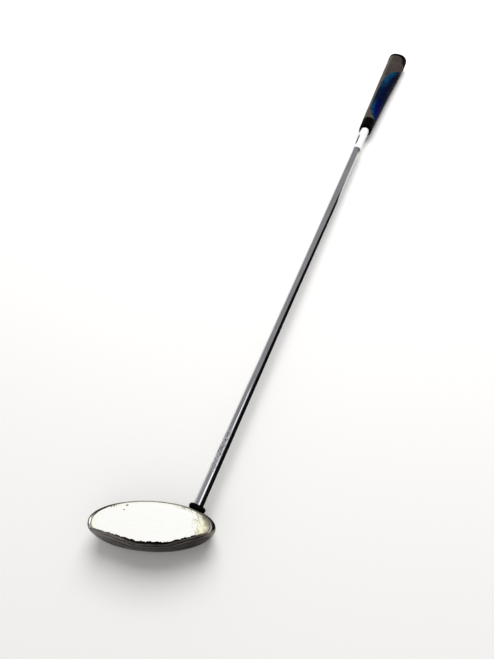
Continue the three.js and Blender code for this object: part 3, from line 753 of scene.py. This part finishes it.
def blue_rubber():
    """Blue inlay: royal blue near the mouth, navy in the middle, teal along its curved edge, and darker
    toward the palm side by painted shade.
    """
    tree, material = new_material("blue_rubber", Specular_IOR_Level=0.02)
    across, up = shaft_point(tree)
    grain = use(tree, GRAIN, Size=1300.0, Patches=70.0)
    clouds = use(tree, GRAIN, Size=900.0, Patches=260.0)
    uneven = figure(tree, "SUBTRACT", grain["Patch"], 0.5)
    ends = (MOUTH + PANEL_FROM_MOUTH, GRIP_END - PANEL_FROM_BUTT)
    along = between(tree, figure(tree, "ADD", up, times(tree, uneven, BLUE_WANDER_ALONG)), *ends)
    blue_tones = ramp(tree, along, (0.0, (0, 5, 82)), (0.2, (0, 5, 70)), (0.34, (0, 7, 40)), (0.66, (0, 6, 40)),
                (0.86, (0, 7, 60)))
    reach = max(row[1] for row in PANEL_EDGE_SHARES) + 1
    level = between(tree, up, *ends)
    edge = ramp(tree, level, *((place, (row + 1) / reach) for place, row in PANEL_EDGE_SHARES))
    edge_across = times(tree, figure(tree, "SUBTRACT", times(tree, edge, reach), 1.0), MOUTH_RADIUS)
    inward = figure(tree, "ADD", figure(tree, "SUBTRACT", across, edge_across),
                    times(tree, uneven, TEAL_WANDER_ACROSS))
    spread = ramp(tree, along, (0.0, 1.0), (0.45, 0.8), (0.64, 0.5), (0.84, 0.62), (1.0, 1.0))
    by_edge = between(tree, times(tree, inward, spread), *TEAL_INWARD)
    depth = ramp(tree, along, (0.0, 0.4), (0.1, 0.9), (0.22, 0.8), (0.32, 0.16), (0.52, 0.12), (0.64, 0.85),
                 (0.84, 1.0), (1.0, 0.3))
    teal = laid(tree, blue_tones, times(tree, by_edge, depth), (8, 58, 88))
    cloudy = ramp(tree, clouds["Patch"], (0.4, 0.2), (0.5, 0.85), (0.6, 1.7))
    mottled = blend(tree, 0.85, teal, cloudy, "MULTIPLY")
    # Painted shade toward the palm side of the inlay.
    shaded = laid(tree, mottled, between(tree, across, *PALM_SHADE_ACROSS), (0, 1, 14), 0.85)
    rough = ramp(tree, grain["Patch"], (0.3, 0.7), (0.7, 0.52))
    return close_material(material, grain["Height"], strength=0.4, depth=0.07 * MM, Base_Color=shaded,
                          Roughness=rough)


def plain_plastic(name, first, second, roughness):
    """Moulded plastic or gummed tape of the hidden pieces."""
    tree, material = new_material(name, Roughness=roughness)
    grain = use(tree, GRAIN, Size=800.0, Patches=90.0)
    body = ramp(tree, grain["Patch"], (0.35, first), (0.65, second))
    return close_material(material, grain["Height"], strength=0.2, depth=0.05 * MM, Base_Color=body)


# Head
def face_height(across):
    """Height of the lofted face over the table, at a place across it."""
    return HEAD_DEPTH - across * math.tan(LOFT)


def sole_edge(share, half, sole):
    """Point of the lower half of a plan at a share of its half length."""
    exponent = TOE_EXPONENT if share < 0 else HEEL_EXPONENT
    drop = max(0, 1 - abs(share) ** exponent) ** (1 / exponent)
    return Vector((share * half, -sole * drop))


def growth(depth):
    """Half length, crown and sole of the head at a depth behind the face."""
    rim = min(1, depth / RIM_DEPTH)
    grow = math.sqrt(1 - (1 - rim) ** 2)
    behind = max(0, (depth - RIM_DEPTH) / (HEAD_DEPTH - RIM_DEPTH))
    swell = 2 * behind * math.sqrt(1 - behind ** 2)
    tuck = 1 - math.sqrt(1 - behind ** 2)
    return (FACE_HALF + mix(LAND, RIM_ENDS, grow) - TUCK_ENDS * tuck,
            FACE_CROWN + mix(LAND, RIM_CROWN, grow) + CROWN_SWELL * swell - TUCK_CROWN * tuck,
            FACE_SOLE + mix(LAND, RIM_SOLE, grow) + SOLE_SWELL * swell - TUCK_SOLE * tuck)


def shape_ring(head, unit, depth):
    """Brings the selected ring from the unit's sizes to those of a depth, and tilts it with the face."""
    half, crown, sole = growth(depth)
    tilt = math.atan(math.tan(LOFT) * (1 - depth / HEAD_DEPTH))
    mesh = bmesh.from_edit_mesh(head.data)
    ring = [point for point in mesh.verts if point.select]
    bpy.ops.transform.resize(value=(half / unit[0], crown / unit[1], 0), center_override=(0, 0, 0))
    for point in ring:
        point.select_set(point.co.y < 0)
    mesh.select_flush_mode()
    bpy.ops.transform.resize(value=(1, sole / crown * unit[1] / unit[2], 1), center_override=(0, 0, 0))
    for point in ring:
        point.select_set(True)
    mesh.select_flush_mode()
    bpy.ops.transform.rotate(value=tilt, orient_axis="X", center_override=(0, 0, 0))
    bpy.ops.transform.translate(value=(0, 0, HEAD_DEPTH - depth))
    return half, crown * math.cos(tilt), sole * math.cos(tilt)


def head_blank():
    """The skin of the head, ring by ring from the flat back to the lofted face."""
    deselect()
    bpy.ops.mesh.primitive_circle_add(vertices=HEAD_POINTS, radius=1, fill_type="NGON")
    head = begin("cast_head")
    for point in bmesh.from_edit_mesh(head.data).verts:
        if point.co.y < 0:
            point.co.y = sole_edge(point.co.x, 1, 1).y
    depths = [RIM_DEPTH * (1 - math.cos(math.pi / 2 * i / RIM_RINGS)) for i in range(RIM_RINGS + 1)]
    depths += [mix(RIM_DEPTH, HEAD_DEPTH, math.sin(math.pi / 2 * (i + 1) / BACK_RINGS))
               for i in range(BACK_RINGS)]
    bpy.ops.mesh.select_mode(type="VERT")
    everything()
    sizes = shape_ring(head, (1, 1, 1), depths.pop())
    for depth in reversed(depths):
        bpy.ops.mesh.extrude_region_move()
        sizes = shape_ring(head, sizes, depth)
    return head


def facet_planes():
    """A point and the outward normal of each plane under the face: a chamfer and a facet on each line."""
    corners = [sole_edge(share, FACE_HALF, FACE_SOLE) for share in FACET_VERTEX_SHARES]
    chamfer_out = LAND + CHAMFER_DEPTH * math.tan(CHAMFER_ANGLE)
    half, _, sole = growth(FACET_RUNOUT)
    girth = [sole_edge(i / HEAD_POINTS, half, sole) for i in range(-HEAD_POINTS, HEAD_POINTS + 1)]

    def sunk(point, depth):
        return Vector((point.x, point.y, face_height(point.y) * (1 - depth / HEAD_DEPTH)))

    planes = []
    for start, end in zip(corners, corners[1:]):
        along = (end - start).normalized()
        out = Vector((along.y, -along.x))
        reach = max((point - start).dot(out) for point in girth)
        run = Vector((along.x, along.y, -along.y * math.tan(LOFT))).normalized()
        for top, top_out, low, low_out in ((0, LAND, CHAMFER_DEPTH, chamfer_out),
                                           (CHAMFER_DEPTH, chamfer_out, FACET_RUNOUT, reach)):
            first = sunk(start + out * top_out, top)
            down = sunk(start + out * low_out, low) - first
            normal = down.cross(run).normalized()
            planes.append((first, normal if normal.xy.dot(out) > 0 else -normal))
    return planes


def cut_facets(head):
    """Cuts each plane under the face off the open mesh of the head and closes the cut."""
    for point, normal in facet_planes():
        everything()
        bpy.ops.mesh.bisect(plane_co=point, plane_no=normal, use_fill=True, clear_outer=True,
                            threshold=CUT_WELD)


def sink_face(head):
    """Draws the land in from the edge of the face and sinks the recess. Leaves its floor selected."""
    faces = bmesh.from_edit_mesh(head.data).faces
    front = max((face for face in faces if face.calc_center_median().z > HEAD_DEPTH / 2),
                key=lambda face: face.calc_area())
    face_up = Vector((0, math.sin(LOFT), math.cos(LOFT)))
    choose(head, "FACE", lambda face: face == front)
    bpy.ops.mesh.inset(thickness=LAND)
    extrude(-face_up * RECESS)
    return face_up


def enamel_layer(head, face_up):
    """The layer that fills the recess, chipped along its lower edge. It starts as a copy of the floor."""
    before = set(bpy.data.objects)
    bpy.ops.mesh.duplicate()
    bpy.ops.mesh.separate(type="SELECTED")
    leave()
    enamel = (set(bpy.data.objects) - before).pop()
    enamel.name = "enamel_layer"
    enamel.data.name = "enamel_layer"
    activate(enamel)
    bpy.ops.object.mode_set(mode="EDIT")
    bpy.ops.mesh.select_mode(type="FACE")
    everything()
    bpy.ops.mesh.remove_doubles(threshold=CAST_EDGE)
    everything()
    bpy.ops.mesh.inset(thickness=ENAMEL_GAP)
    bpy.ops.mesh.select_all(action="INVERT")
    bpy.ops.mesh.delete(type="FACE")
    choose(enamel, "EDGE", lambda edge: edge.calc_length() > SHORTEST_FACET)
    bpy.ops.mesh.subdivide(number_cuts=round(MEAN_FACET / CHIP_STEP))
    chip_edge(enamel)
    mesh = bmesh.from_edit_mesh(enamel.data)
    floor = Vector((0, 0, HEAD_DEPTH)) - face_up * RECESS
    for point in mesh.verts:
        point.co -= face_up * (point.co - floor).dot(face_up)
    everything()
    extrude(face_up * RECESS)
    leave()
    return enamel


def chip_edge(enamel):
    """Wears back the selected edge along the sole in waves, and moves its points by seeded random steps."""
    mesh = bmesh.from_edit_mesh(enamel.data)
    toe = min(point.co.x for point in mesh.verts if point.select)
    heel = max(point.co.x for point in mesh.verts if point.select)
    for point in (point for point in mesh.verts if point.co.y < 0 and toe < point.co.x < heel):
        share = max(0, min(1, (point.co.x - toe) / CHIP_TOE_RUN, (heel - point.co.x) / CHIP_HEEL_RUN))
        broad, fine = (point.co.x * turns for turns in CHIP_WAVE_TURNS)
        waves = math.sin(broad) + CHIP_FINE_SHARE * math.sin(fine + 1)
        point.co.y += share * CHIP_BACK + min(1, CHIP_WAVE_ONSET * share) * CHIP_WAVE * waves
    noise.seed_set(CHIP_SEED)
    for point in sorted((point for point in mesh.verts if point.select), key=lambda point: point.co.x):
        point.co += noise.random_unit_vector() * CHIP_DEPTH


def rod(radius, low, high):
    """A plain rod on the axis of the shaft, as a tool for joins and cuts."""
    deselect()
    bpy.ops.mesh.primitive_cylinder_add(vertices=ROUND_POINTS, radius=radius, depth=high - low,
                                        location=(0, 0, (low + high) / 2))
    tool = bpy.context.active_object
    put(tool, SHAFT_PLACE @ tool.matrix_world)
    return tool


def make_head():
    """Cast head with its facets, recess, hosel boss, spot face and blind bore, and the enamel layer."""
    head = head_blank()
    cut_facets(head)
    face_up = sink_face(head)
    enamel = enamel_layer(head, face_up)
    put(head, HEAD_PLACE)
    put(enamel, HEAD_PLACE)
    for radius, low, high, operation in (
            (BOSS_RADIUS, -BORE_DEPTH / 2, 0, "UNION"),
            (FERRULE_RADIUS + SEAT_GAP, 0, FERRULE_TOP, "DIFFERENCE"),
            (TIP_RADIUS + BORE_PLAY, -BORE_DEPTH, FERRULE_TOP, "DIFFERENCE")):
        join_or_cut(head, rod(radius, low, high), operation)
    soften_edges(head, CAST_EDGE)
    soften_edges(enamel, ENAMEL_EDGE)
    complete(head, cast_metal(), "head_body")
    complete(enamel, white_enamel(), "face_enamel", smooth_degrees=12)


# Ferrule, shaft and label
def make_ferrule():
    """Fat rubber ring: a cylinder with its hole bridged through and its rims rounded."""
    deselect()
    bpy.ops.mesh.primitive_cylinder_add(vertices=ROUND_POINTS, radius=FERRULE_RADIUS,
                                        depth=FERRULE_TOP - FERRULE_BOTTOM)
    ring = begin("rubber_ferrule")
    choose(ring, "FACE", lambda face: abs(face.normal.z) > 0.9)
    bpy.ops.mesh.inset(thickness=FERRULE_RADIUS - TIP_RADIUS - BORE_PLAY)
    bpy.ops.mesh.bridge_edge_loops()
    choose(ring, "EDGE", lambda edge: all(
        point.co.xy.length > FERRULE_RADIUS - BORE_PLAY for point in edge.verts)
        and abs(edge.verts[0].co.z - edge.verts[1].co.z) < BORE_PLAY)
    bpy.ops.mesh.bevel(offset=FERRULE_EDGE, segments=EDGE_RINGS, affect="EDGES")
    leave()
    put(ring, SHAFT_PLACE @ Matrix.Translation((0, 0, (FERRULE_BOTTOM + FERRULE_TOP) / 2)))
    # The ferrule's olive patches are painted sheen.
    complete(ring, black_rubber("ferrule_rubber", (16, 16, 11), 700.0), "ferrule")


def make_shaft():
    """Tube with a parallel tip and a straight taper, extruded from its tip and given its wall."""
    deselect()
    bpy.ops.mesh.primitive_circle_add(vertices=ROUND_POINTS, radius=TIP_RADIUS,
                                      location=(0, 0, SHAFT_BOTTOM))
    tube = begin("chromed_tube")
    everything()
    extrude((0, 0, TAPER_START - SHAFT_BOTTOM))
    extrude((0, 0, SHAFT_TOP - TAPER_START))
    grow = BUTT_RADIUS / TIP_RADIUS
    bpy.ops.transform.resize(value=(grow, grow, 1), center_override=(0, 0, SHAFT_TOP))
    face_out()
    leave()
    put(tube, SHAFT_PLACE @ tube.matrix_world)
    apply_modifier(tube, "SOLIDIFY", thickness=SHAFT_WALL, offset=-1)
    complete(tube, chrome_plate(), "shaft")


def shaft_radius(along):
    """Radius of the tube at a place up from the seat of the ferrule."""
    share = min(1, max(0, (along - TAPER_START) / (SHAFT_TOP - TAPER_START)))
    return mix(TIP_RADIUS, BUTT_RADIUS, share)


def make_label():
    """Paper strip wound once round the shaft over its own start, its free end a little lifted."""
    deselect()
    bpy.ops.mesh.primitive_plane_add(size=1)
    strip = begin("paper_label")
    choose(strip, "VERT", lambda point: point.co.x < 0)
    bpy.ops.mesh.delete(type="VERT")
    for point in bmesh.from_edit_mesh(strip.data).verts:
        along = LABEL_TOP if point.co.y > 0 else LABEL_BOTTOM
        point.co = (shaft_radius(along) + PAPER_PLAY, 0, along)
    first = math.radians(PAPER_END_DEGREES - PAPER_TURN_DEGREES)
    everything()
    bpy.ops.transform.rotate(value=-first, orient_axis="Z", center_override=(0, 0, 0))
    steps = round(PAPER_TURN_DEGREES / PAPER_STEP_DEGREES)
    radius = shaft_radius(LABEL_TOP)
    for i in range(steps):
        lift = PAPER_LIFT / PAPER_LIFT_STEPS if i >= steps - PAPER_LIFT_STEPS else 0
        wider = radius + (PAPER + PAPER_PLAY) * PAPER_STEP_DEGREES / 360 + lift
        bpy.ops.mesh.extrude_region_move()
        bpy.ops.transform.rotate(value=-math.radians(PAPER_STEP_DEGREES), orient_axis="Z",
                                 center_override=(0, 0, 0))
        bpy.ops.transform.resize(value=(wider / radius, wider / radius, 1), center_override=(0, 0, 0))
        radius = wider
    leave()
    put(strip, SHAFT_PLACE)
    apply_modifier(strip, "SOLIDIFY", thickness=PAPER, offset=0)
    complete(strip, label_paper(), "shaft_label")


# Grip
def curve_through(values, row, share):
    """Smooth curve through a row of values, at a share of the way from one to the next."""
    last = len(values) - 1
    before, here, there, after = (values[min(last, max(0, row + k))] for k in (-1, 0, 1, 2))
    slope_here = (there - before) / 2
    slope_there = (after - here) / 2
    return ((2 * here - 2 * there + slope_here + slope_there) * share ** 3
            + (3 * there - 3 * here - 2 * slope_here - slope_there) * share ** 2
            + slope_here * share + here)


def grown(shares, share):
    """Growth of one half of the grip's section, at a share of its length."""
    row = max(i for i, along in enumerate(GROWTH_ALONG_SHARES[:-1]) if along <= share)
    low = GROWTH_ALONG_SHARES[row]
    return curve_through(shares, row, (share - low) / (GROWTH_ALONG_SHARES[row + 1] - low))


def grip_point(angle, along, cut, proud_palm=0, proud_rim=0):
    """Point of the grip's section: flat on the thumb side, round on the palm side."""
    share = min(1, max(0, (along - MOUTH) / GRIP_LENGTH))
    thumb_side = math.cos(angle) < 0
    if thumb_side:
        reach = mix(MOUTH_RADIUS, BUTT_FLAT, grown(GROWTH_FLAT_SHARES, share)) + proud_rim
    else:
        reach = mix(MOUTH_RADIUS, BUTT_PALM, grown(GROWTH_PALM_SHARES, share)) + proud_palm
    half = mix(MOUTH_RADIUS, BUTT_HALF, grown(GROWTH_HALF_SHARES, share)) + proud_rim
    ease = min(1, share / SQUARING_SHARE)
    squared = ease * ease * (3 - 2 * ease)
    exponent = mix(2, THUMB_EXPONENT if thumb_side else PALM_EXPONENT, squared)

    def bend(value):
        return math.copysign(abs(value) ** (2 / exponent), value)
    return Vector(((reach - cut) * bend(math.cos(angle)), (half - cut) * bend(math.sin(angle)), along))


def grip_stations(start, end, start_edge=0, start_run=0, end_edge=0):
    """Places along the grip and how far the section is drawn in there, with rounded edges where asked."""
    quarter = [math.pi / 2 * i / EDGE_RINGS for i in range(EDGE_RINGS)]
    first = start + start_run
    last = end - end_edge
    stations = [(first - start_run * math.cos(a), start_edge * (1 - math.sin(a)))
                for a in quarter if start_edge]
    rings = max(2, round(GRIP_RINGS * (last - first) / GRIP_LENGTH))
    stations += [(mix(first, last, i / rings), 0) for i in range(rings + 1)]
    stations += [(last + end_edge * math.cos(a), end_edge * (1 - math.sin(a)))
                 for a in reversed(quarter) if end_edge]
    return stations


def grip_form(name, stations, inset=0, **proud):
    """A closed form of the grip: a cylinder cut into rings, each brought to its section."""
    deselect()
    steps = len(stations) - 1
    bpy.ops.mesh.primitive_cylinder_add(vertices=GRIP_POINTS, radius=1, depth=steps)
    form = begin(name)
    choose(form, "EDGE", lambda edge: abs(edge.verts[0].co.z - edge.verts[1].co.z) > 0.5)
    bpy.ops.mesh.subdivide(number_cuts=steps - 1)
    for point in bmesh.from_edit_mesh(form.data).verts:
        along, cut = stations[round(point.co.z + steps / 2)]
        point.co = grip_point(math.atan2(point.co.y, point.co.x), along, inset + cut, **proud)
    leave()
    return form


def prism(outline):
    """A plan outline, across and along the grip, raised through its whole thickness."""
    deselect()
    bpy.ops.mesh.primitive_circle_add(vertices=len(outline), radius=1, fill_type="NGON")
    form = begin("zone")
    for point, (across, along) in zip(bmesh.from_edit_mesh(form.data).verts, outline):
        point.co = (across, -REACH, along)
    everything()
    extrude((0, 2 * REACH, 0))
    face_out()
    leave()
    return form


def panel_zone(shrink):
    """Everything to the palm side of the panel's curved edge."""
    start = MOUTH + PANEL_FROM_MOUTH
    length = GRIP_END - PANEL_FROM_BUTT - start
    along = [row[0] for row in PANEL_EDGE_SHARES]
    across = [row[1] for row in PANEL_EDGE_SHARES]
    edge = [Vector((curve_through(across, row, k / PANEL_EDGE_STEPS) * MOUTH_RADIUS,
                    start + curve_through(along, row, k / PANEL_EDGE_STEPS) * length))
            for row in range(len(along) - 1) for k in range(PANEL_EDGE_STEPS)]
    edge.append(Vector((across[-1] * MOUTH_RADIUS, start + length)))
    moved = []
    for i, point in enumerate(edge):
        way = (edge[min(i + 1, len(edge) - 1)] - edge[max(i - 1, 0)]).normalized()
        moved.append(point + Vector((way.y, -way.x)) * shrink)
    return prism([*moved, Vector((REACH, moved[-1].y)), Vector((REACH, moved[0].y))])


def cap_zone(shift):
    """A rim across the butt that runs down the palm side as a strap."""
    rim = GRIP_END - CAP_RIM + shift
    strap = GRIP_END - CAP_STRAP + shift
    inner = BUTT_PALM - CAP_STRAP_INSET + shift
    outline = [Vector((-REACH, rim))]
    steps = EDGE_RINGS * 3
    for share in (i / steps for i in range(steps + 1)):
        outline.append(Vector((-shift, rim)) * (1 - share) ** 2
                       + Vector((inner, rim)) * 2 * share * (1 - share)
                       + Vector((inner, strap)) * share ** 2)
    beyond = GRIP_END + REACH
    return prism([*outline, Vector((REACH, strap)), Vector((REACH, beyond)), Vector((-REACH, beyond))])


def shaft_core(low, high, play):
    """The space of the tapered shaft with a clearance, as a tool."""
    deselect()
    bpy.ops.mesh.primitive_cone_add(vertices=ROUND_POINTS, radius1=shaft_radius(low) + play,
                                    radius2=shaft_radius(high) + play, depth=high - low,
                                    location=(0, 0, (low + high) / 2))
    return bpy.context.active_object


def make_grip():
    """Sleeve with the pocket of its inlay, the inlay itself, the collar and the end cap."""
    whole = grip_stations(MOUTH, GRIP_END)
    body = grip_stations(MOUTH + COLLAR + GROOVE, GRIP_END - GROOVE)
    tape = SEAT_GAP * 2

    panel = grip_form("blue_inlay", whole)
    join_or_cut(panel, panel_zone(GROOVE), "INTERSECT")
    join_or_cut(panel, grip_form("core", whole, PANEL_SKIN), "DIFFERENCE")

    sleeve = grip_form("rubber_sleeve", body)
    pocket = panel_zone(0)
    join_or_cut(pocket, grip_form("core", whole, PANEL_SKIN + GROOVE), "DIFFERENCE")
    join_or_cut(sleeve, pocket, "DIFFERENCE")
    join_or_cut(sleeve, cap_zone(-GROOVE), "DIFFERENCE")
    join_or_cut(sleeve, shaft_core(MOUTH, SHAFT_TOP, tape), "DIFFERENCE")

    collar = grip_form("grip_mouth_collar",
                       grip_stations(MOUTH, MOUTH + COLLAR, MOUTH_EDGE, MOUTH_EDGE_RUN))
    join_or_cut(collar, shaft_core(MOUTH - REACH, MOUTH + COLLAR + REACH, PAPER_PLAY), "DIFFERENCE")

    cap = grip_form("rubber_end_cap",
                    grip_stations(GRIP_END - CAP_STRAP, GRIP_END, end_edge=CAP_EDGE),
                    proud_palm=CAP_PROUD, proud_rim=CAP_RIM_PROUD)
    join_or_cut(cap, cap_zone(0), "INTERSECT")
    join_or_cut(cap, shaft_core(GRIP_END - CAP_STRAP - REACH, GRIP_END - CAP_WALL, tape), "DIFFERENCE")
    deselect()
    bpy.ops.mesh.primitive_cylinder_add(vertices=ROUND_POINTS, radius=VENT_RADIUS, depth=2 * REACH,
                                        location=(0, 0, GRIP_END))
    join_or_cut(cap, bpy.context.active_object, "DIFFERENCE")

    for piece, material, node, slot in (
            (sleeve, taupe_rubber(), "grip_sleeve", "grip_taupe"),
            (panel, blue_rubber(), "grip_panel", "grip_blue"),
            # The patches of the collar and cap rubbers are painted sheen.
            (collar, black_rubber("collar_rubber", (6, 6, 6), 1500.0), "grip_collar", "grip_black"),
            (cap, black_rubber("cap_rubber", (9, 8, 7), 1500.0), "grip_end_cap", "grip_black")):
        put(piece, SHAFT_PLACE)
        soften_edges(piece, RUBBER_EDGE)
        complete(piece, material, node)


def dress_hidden_nodes():
    """The plug in the tip and the tape under the grip keep their CAD solids."""
    for node, material in (
            ("shaft_tip_plug", plain_plastic("plug_plastic", (24, 24, 24), (38, 37, 36), 0.55)),
            ("grip_tape", plain_plastic("gummed_tape", (206, 196, 160), (226, 218, 188), 0.8))):
        holder = frame["nodes"][node].material_slots[0]
        holder.link = "OBJECT"
        holder.material = material


# Floor, cards, lights and camera
def plain_surface(name, colour, roughness):
    return new_material(name, Base_Color=(*colour, 1), Roughness=roughness, Specular_IOR_Level=0.0)[1]


def make_floor():
    """A pale floor that fades to the colour of the backdrop far from the object."""
    deselect()
    bpy.ops.mesh.primitive_plane_add(size=2 * FLOOR_HALF)
    floor = bpy.context.active_object
    floor.name = "floor"
    material = plain_surface("pale_floor", FLOOR_TONE, 0.8)
    tree = material.node_tree
    away = add(tree, "VectorMath", {0: object_place(tree)}, operation="LENGTH").outputs["Value"]
    far = between(tree, away, FLOOR_FADE_FROM, FLOOR_FADE_TO)
    seen = add(tree, "LightPath").outputs["Is Camera Ray"]
    glow = add(tree, "Emission", {"Color": (*BACKDROP, 1)})
    fade = add(tree, "MixShader", {0: times(tree, far, seen)})
    tree.links.new(tree.nodes["Principled BSDF"].outputs[0], fade.inputs[1])
    tree.links.new(glow.outputs[0], fade.inputs[2])
    tree.links.new(fade.outputs[0], tree.nodes["Material Output"].inputs["Surface"])
    floor.data.materials.append(material)


def glowing(name, strength):
    """A black material that gives off white light."""
    material = plain_surface(name, (0, 0, 0), 1.0)
    shader = material.node_tree.nodes["Principled BSDF"]
    shader.inputs["Emission Color"].default_value = (*CARD_WHITE, 1)
    shader.inputs["Emission Strength"].default_value = strength
    return material


def make_card(name, corners, material):
    """A flat card of the studio that only reflections show."""
    deselect()
    bpy.ops.mesh.primitive_plane_add(size=1)
    card = bpy.context.active_object
    card.name = name
    for point, corner in zip(card.data.vertices, corners):
        point.co = corner
    card.data.materials.append(material)
    card.visible_camera = False
    card.visible_diffuse = False
    card.visible_shadow = False
    card.visible_transmission = False


def upright_card(across, start, end, start_height, end_height):
    """Corners of a card that stands along the object."""
    return (across, start, 0), (across, end, 0), (across, start, start_height), (across, end, end_height)


def level_card(corners, height):
    """Corners of a card that lies at a height over the table."""
    return [(x, y, height) for x, y in corners]


def make_cards():
    """A bright card over the lower shaft, and dark ones beside it that end short of the grip."""
    make_card("bright_card", level_card(BRIGHT_CORNERS, BRIGHT_HEIGHT), glowing("bright_card", BRIGHT_GLOW))
    by_toe = upright_card(TOE_CARD_ACROSS, TOE_CARD_START, TOE_CARD_END, TOE_CARD_HEIGHT, TOE_CARD_HEIGHT)
    make_card("bright_card_toe", by_toe, glowing("bright_card_toe", TOE_CARD_GLOW))
    dark = plain_surface("dark_card", CARD_BLACK, 1.0)
    beside = SHAFT_PLACE.translation.x + TIP_RADIUS
    on_floor = ((beside, DARK_FLOOR_START), (DARK_ACROSS, DARK_START), (beside, DARK_FLOOR_END),
                (DARK_ACROSS, DARK_END))
    for name, corners in (
            ("low", upright_card(DARK_ACROSS, DARK_START, DARK_FULL_TO, DARK_HEIGHT, DARK_HEIGHT)),
            ("end", upright_card(DARK_ACROSS, DARK_FULL_TO, DARK_END, DARK_HEIGHT, DARK_END_HEIGHT)),
            ("floor", level_card(on_floor, DARK_FLOOR_LIFT))):
        make_card("dark_card_" + name, corners, dark)


def make_studio():
    """Floor, cards, key lamp and room light, under the Standard view."""
    make_floor()
    make_cards()
    light = bpy.data.lights.new("key", "AREA")
    light.size = KEY_SIZE
    light.energy = KEY_WATTS
    lamp = bpy.data.objects.new("key", light)
    bpy.context.scene.collection.objects.link(lamp)
    lamp.location = KEY_PLACE
    lamp.rotation_euler = Vector(KEY_PLACE).to_track_quat("Z", "Y").to_euler()
    lamp.visible_glossy = False
    world = bpy.data.worlds.new("studio")
    bpy.context.scene.world = world
    world.use_nodes = True
    tree = world.node_tree
    path = add(tree, "LightPath")
    colour = blend(tree, path.outputs["Is Camera Ray"], ROOM_LIGHT, BACKDROP)
    tree.links.new(colour, tree.nodes["Background"].inputs["Color"])
    bpy.context.scene.view_settings.view_transform = "Standard"


def make_camera():
    """The camera at the photograph's viewpoint."""
    lens = bpy.data.cameras.new("camera")
    lens.sensor_width = SENSOR_MM
    lens.lens = FOCAL_PIXELS / LONG_SIDE_PIXELS * SENSOR_MM
    lens.clip_start = NEAREST
    camera = bpy.data.objects.new("camera", lens)
    bpy.context.scene.collection.objects.link(camera)
    camera.location = EYE
    camera.rotation_euler = [math.radians(turn) for turn in EYE_TURN_DEGREES]
    bpy.context.scene.camera = camera


make_camera()
make_studio()
make_head()
make_ferrule()
make_shaft()
make_label()
make_grip()
dress_hidden_nodes()
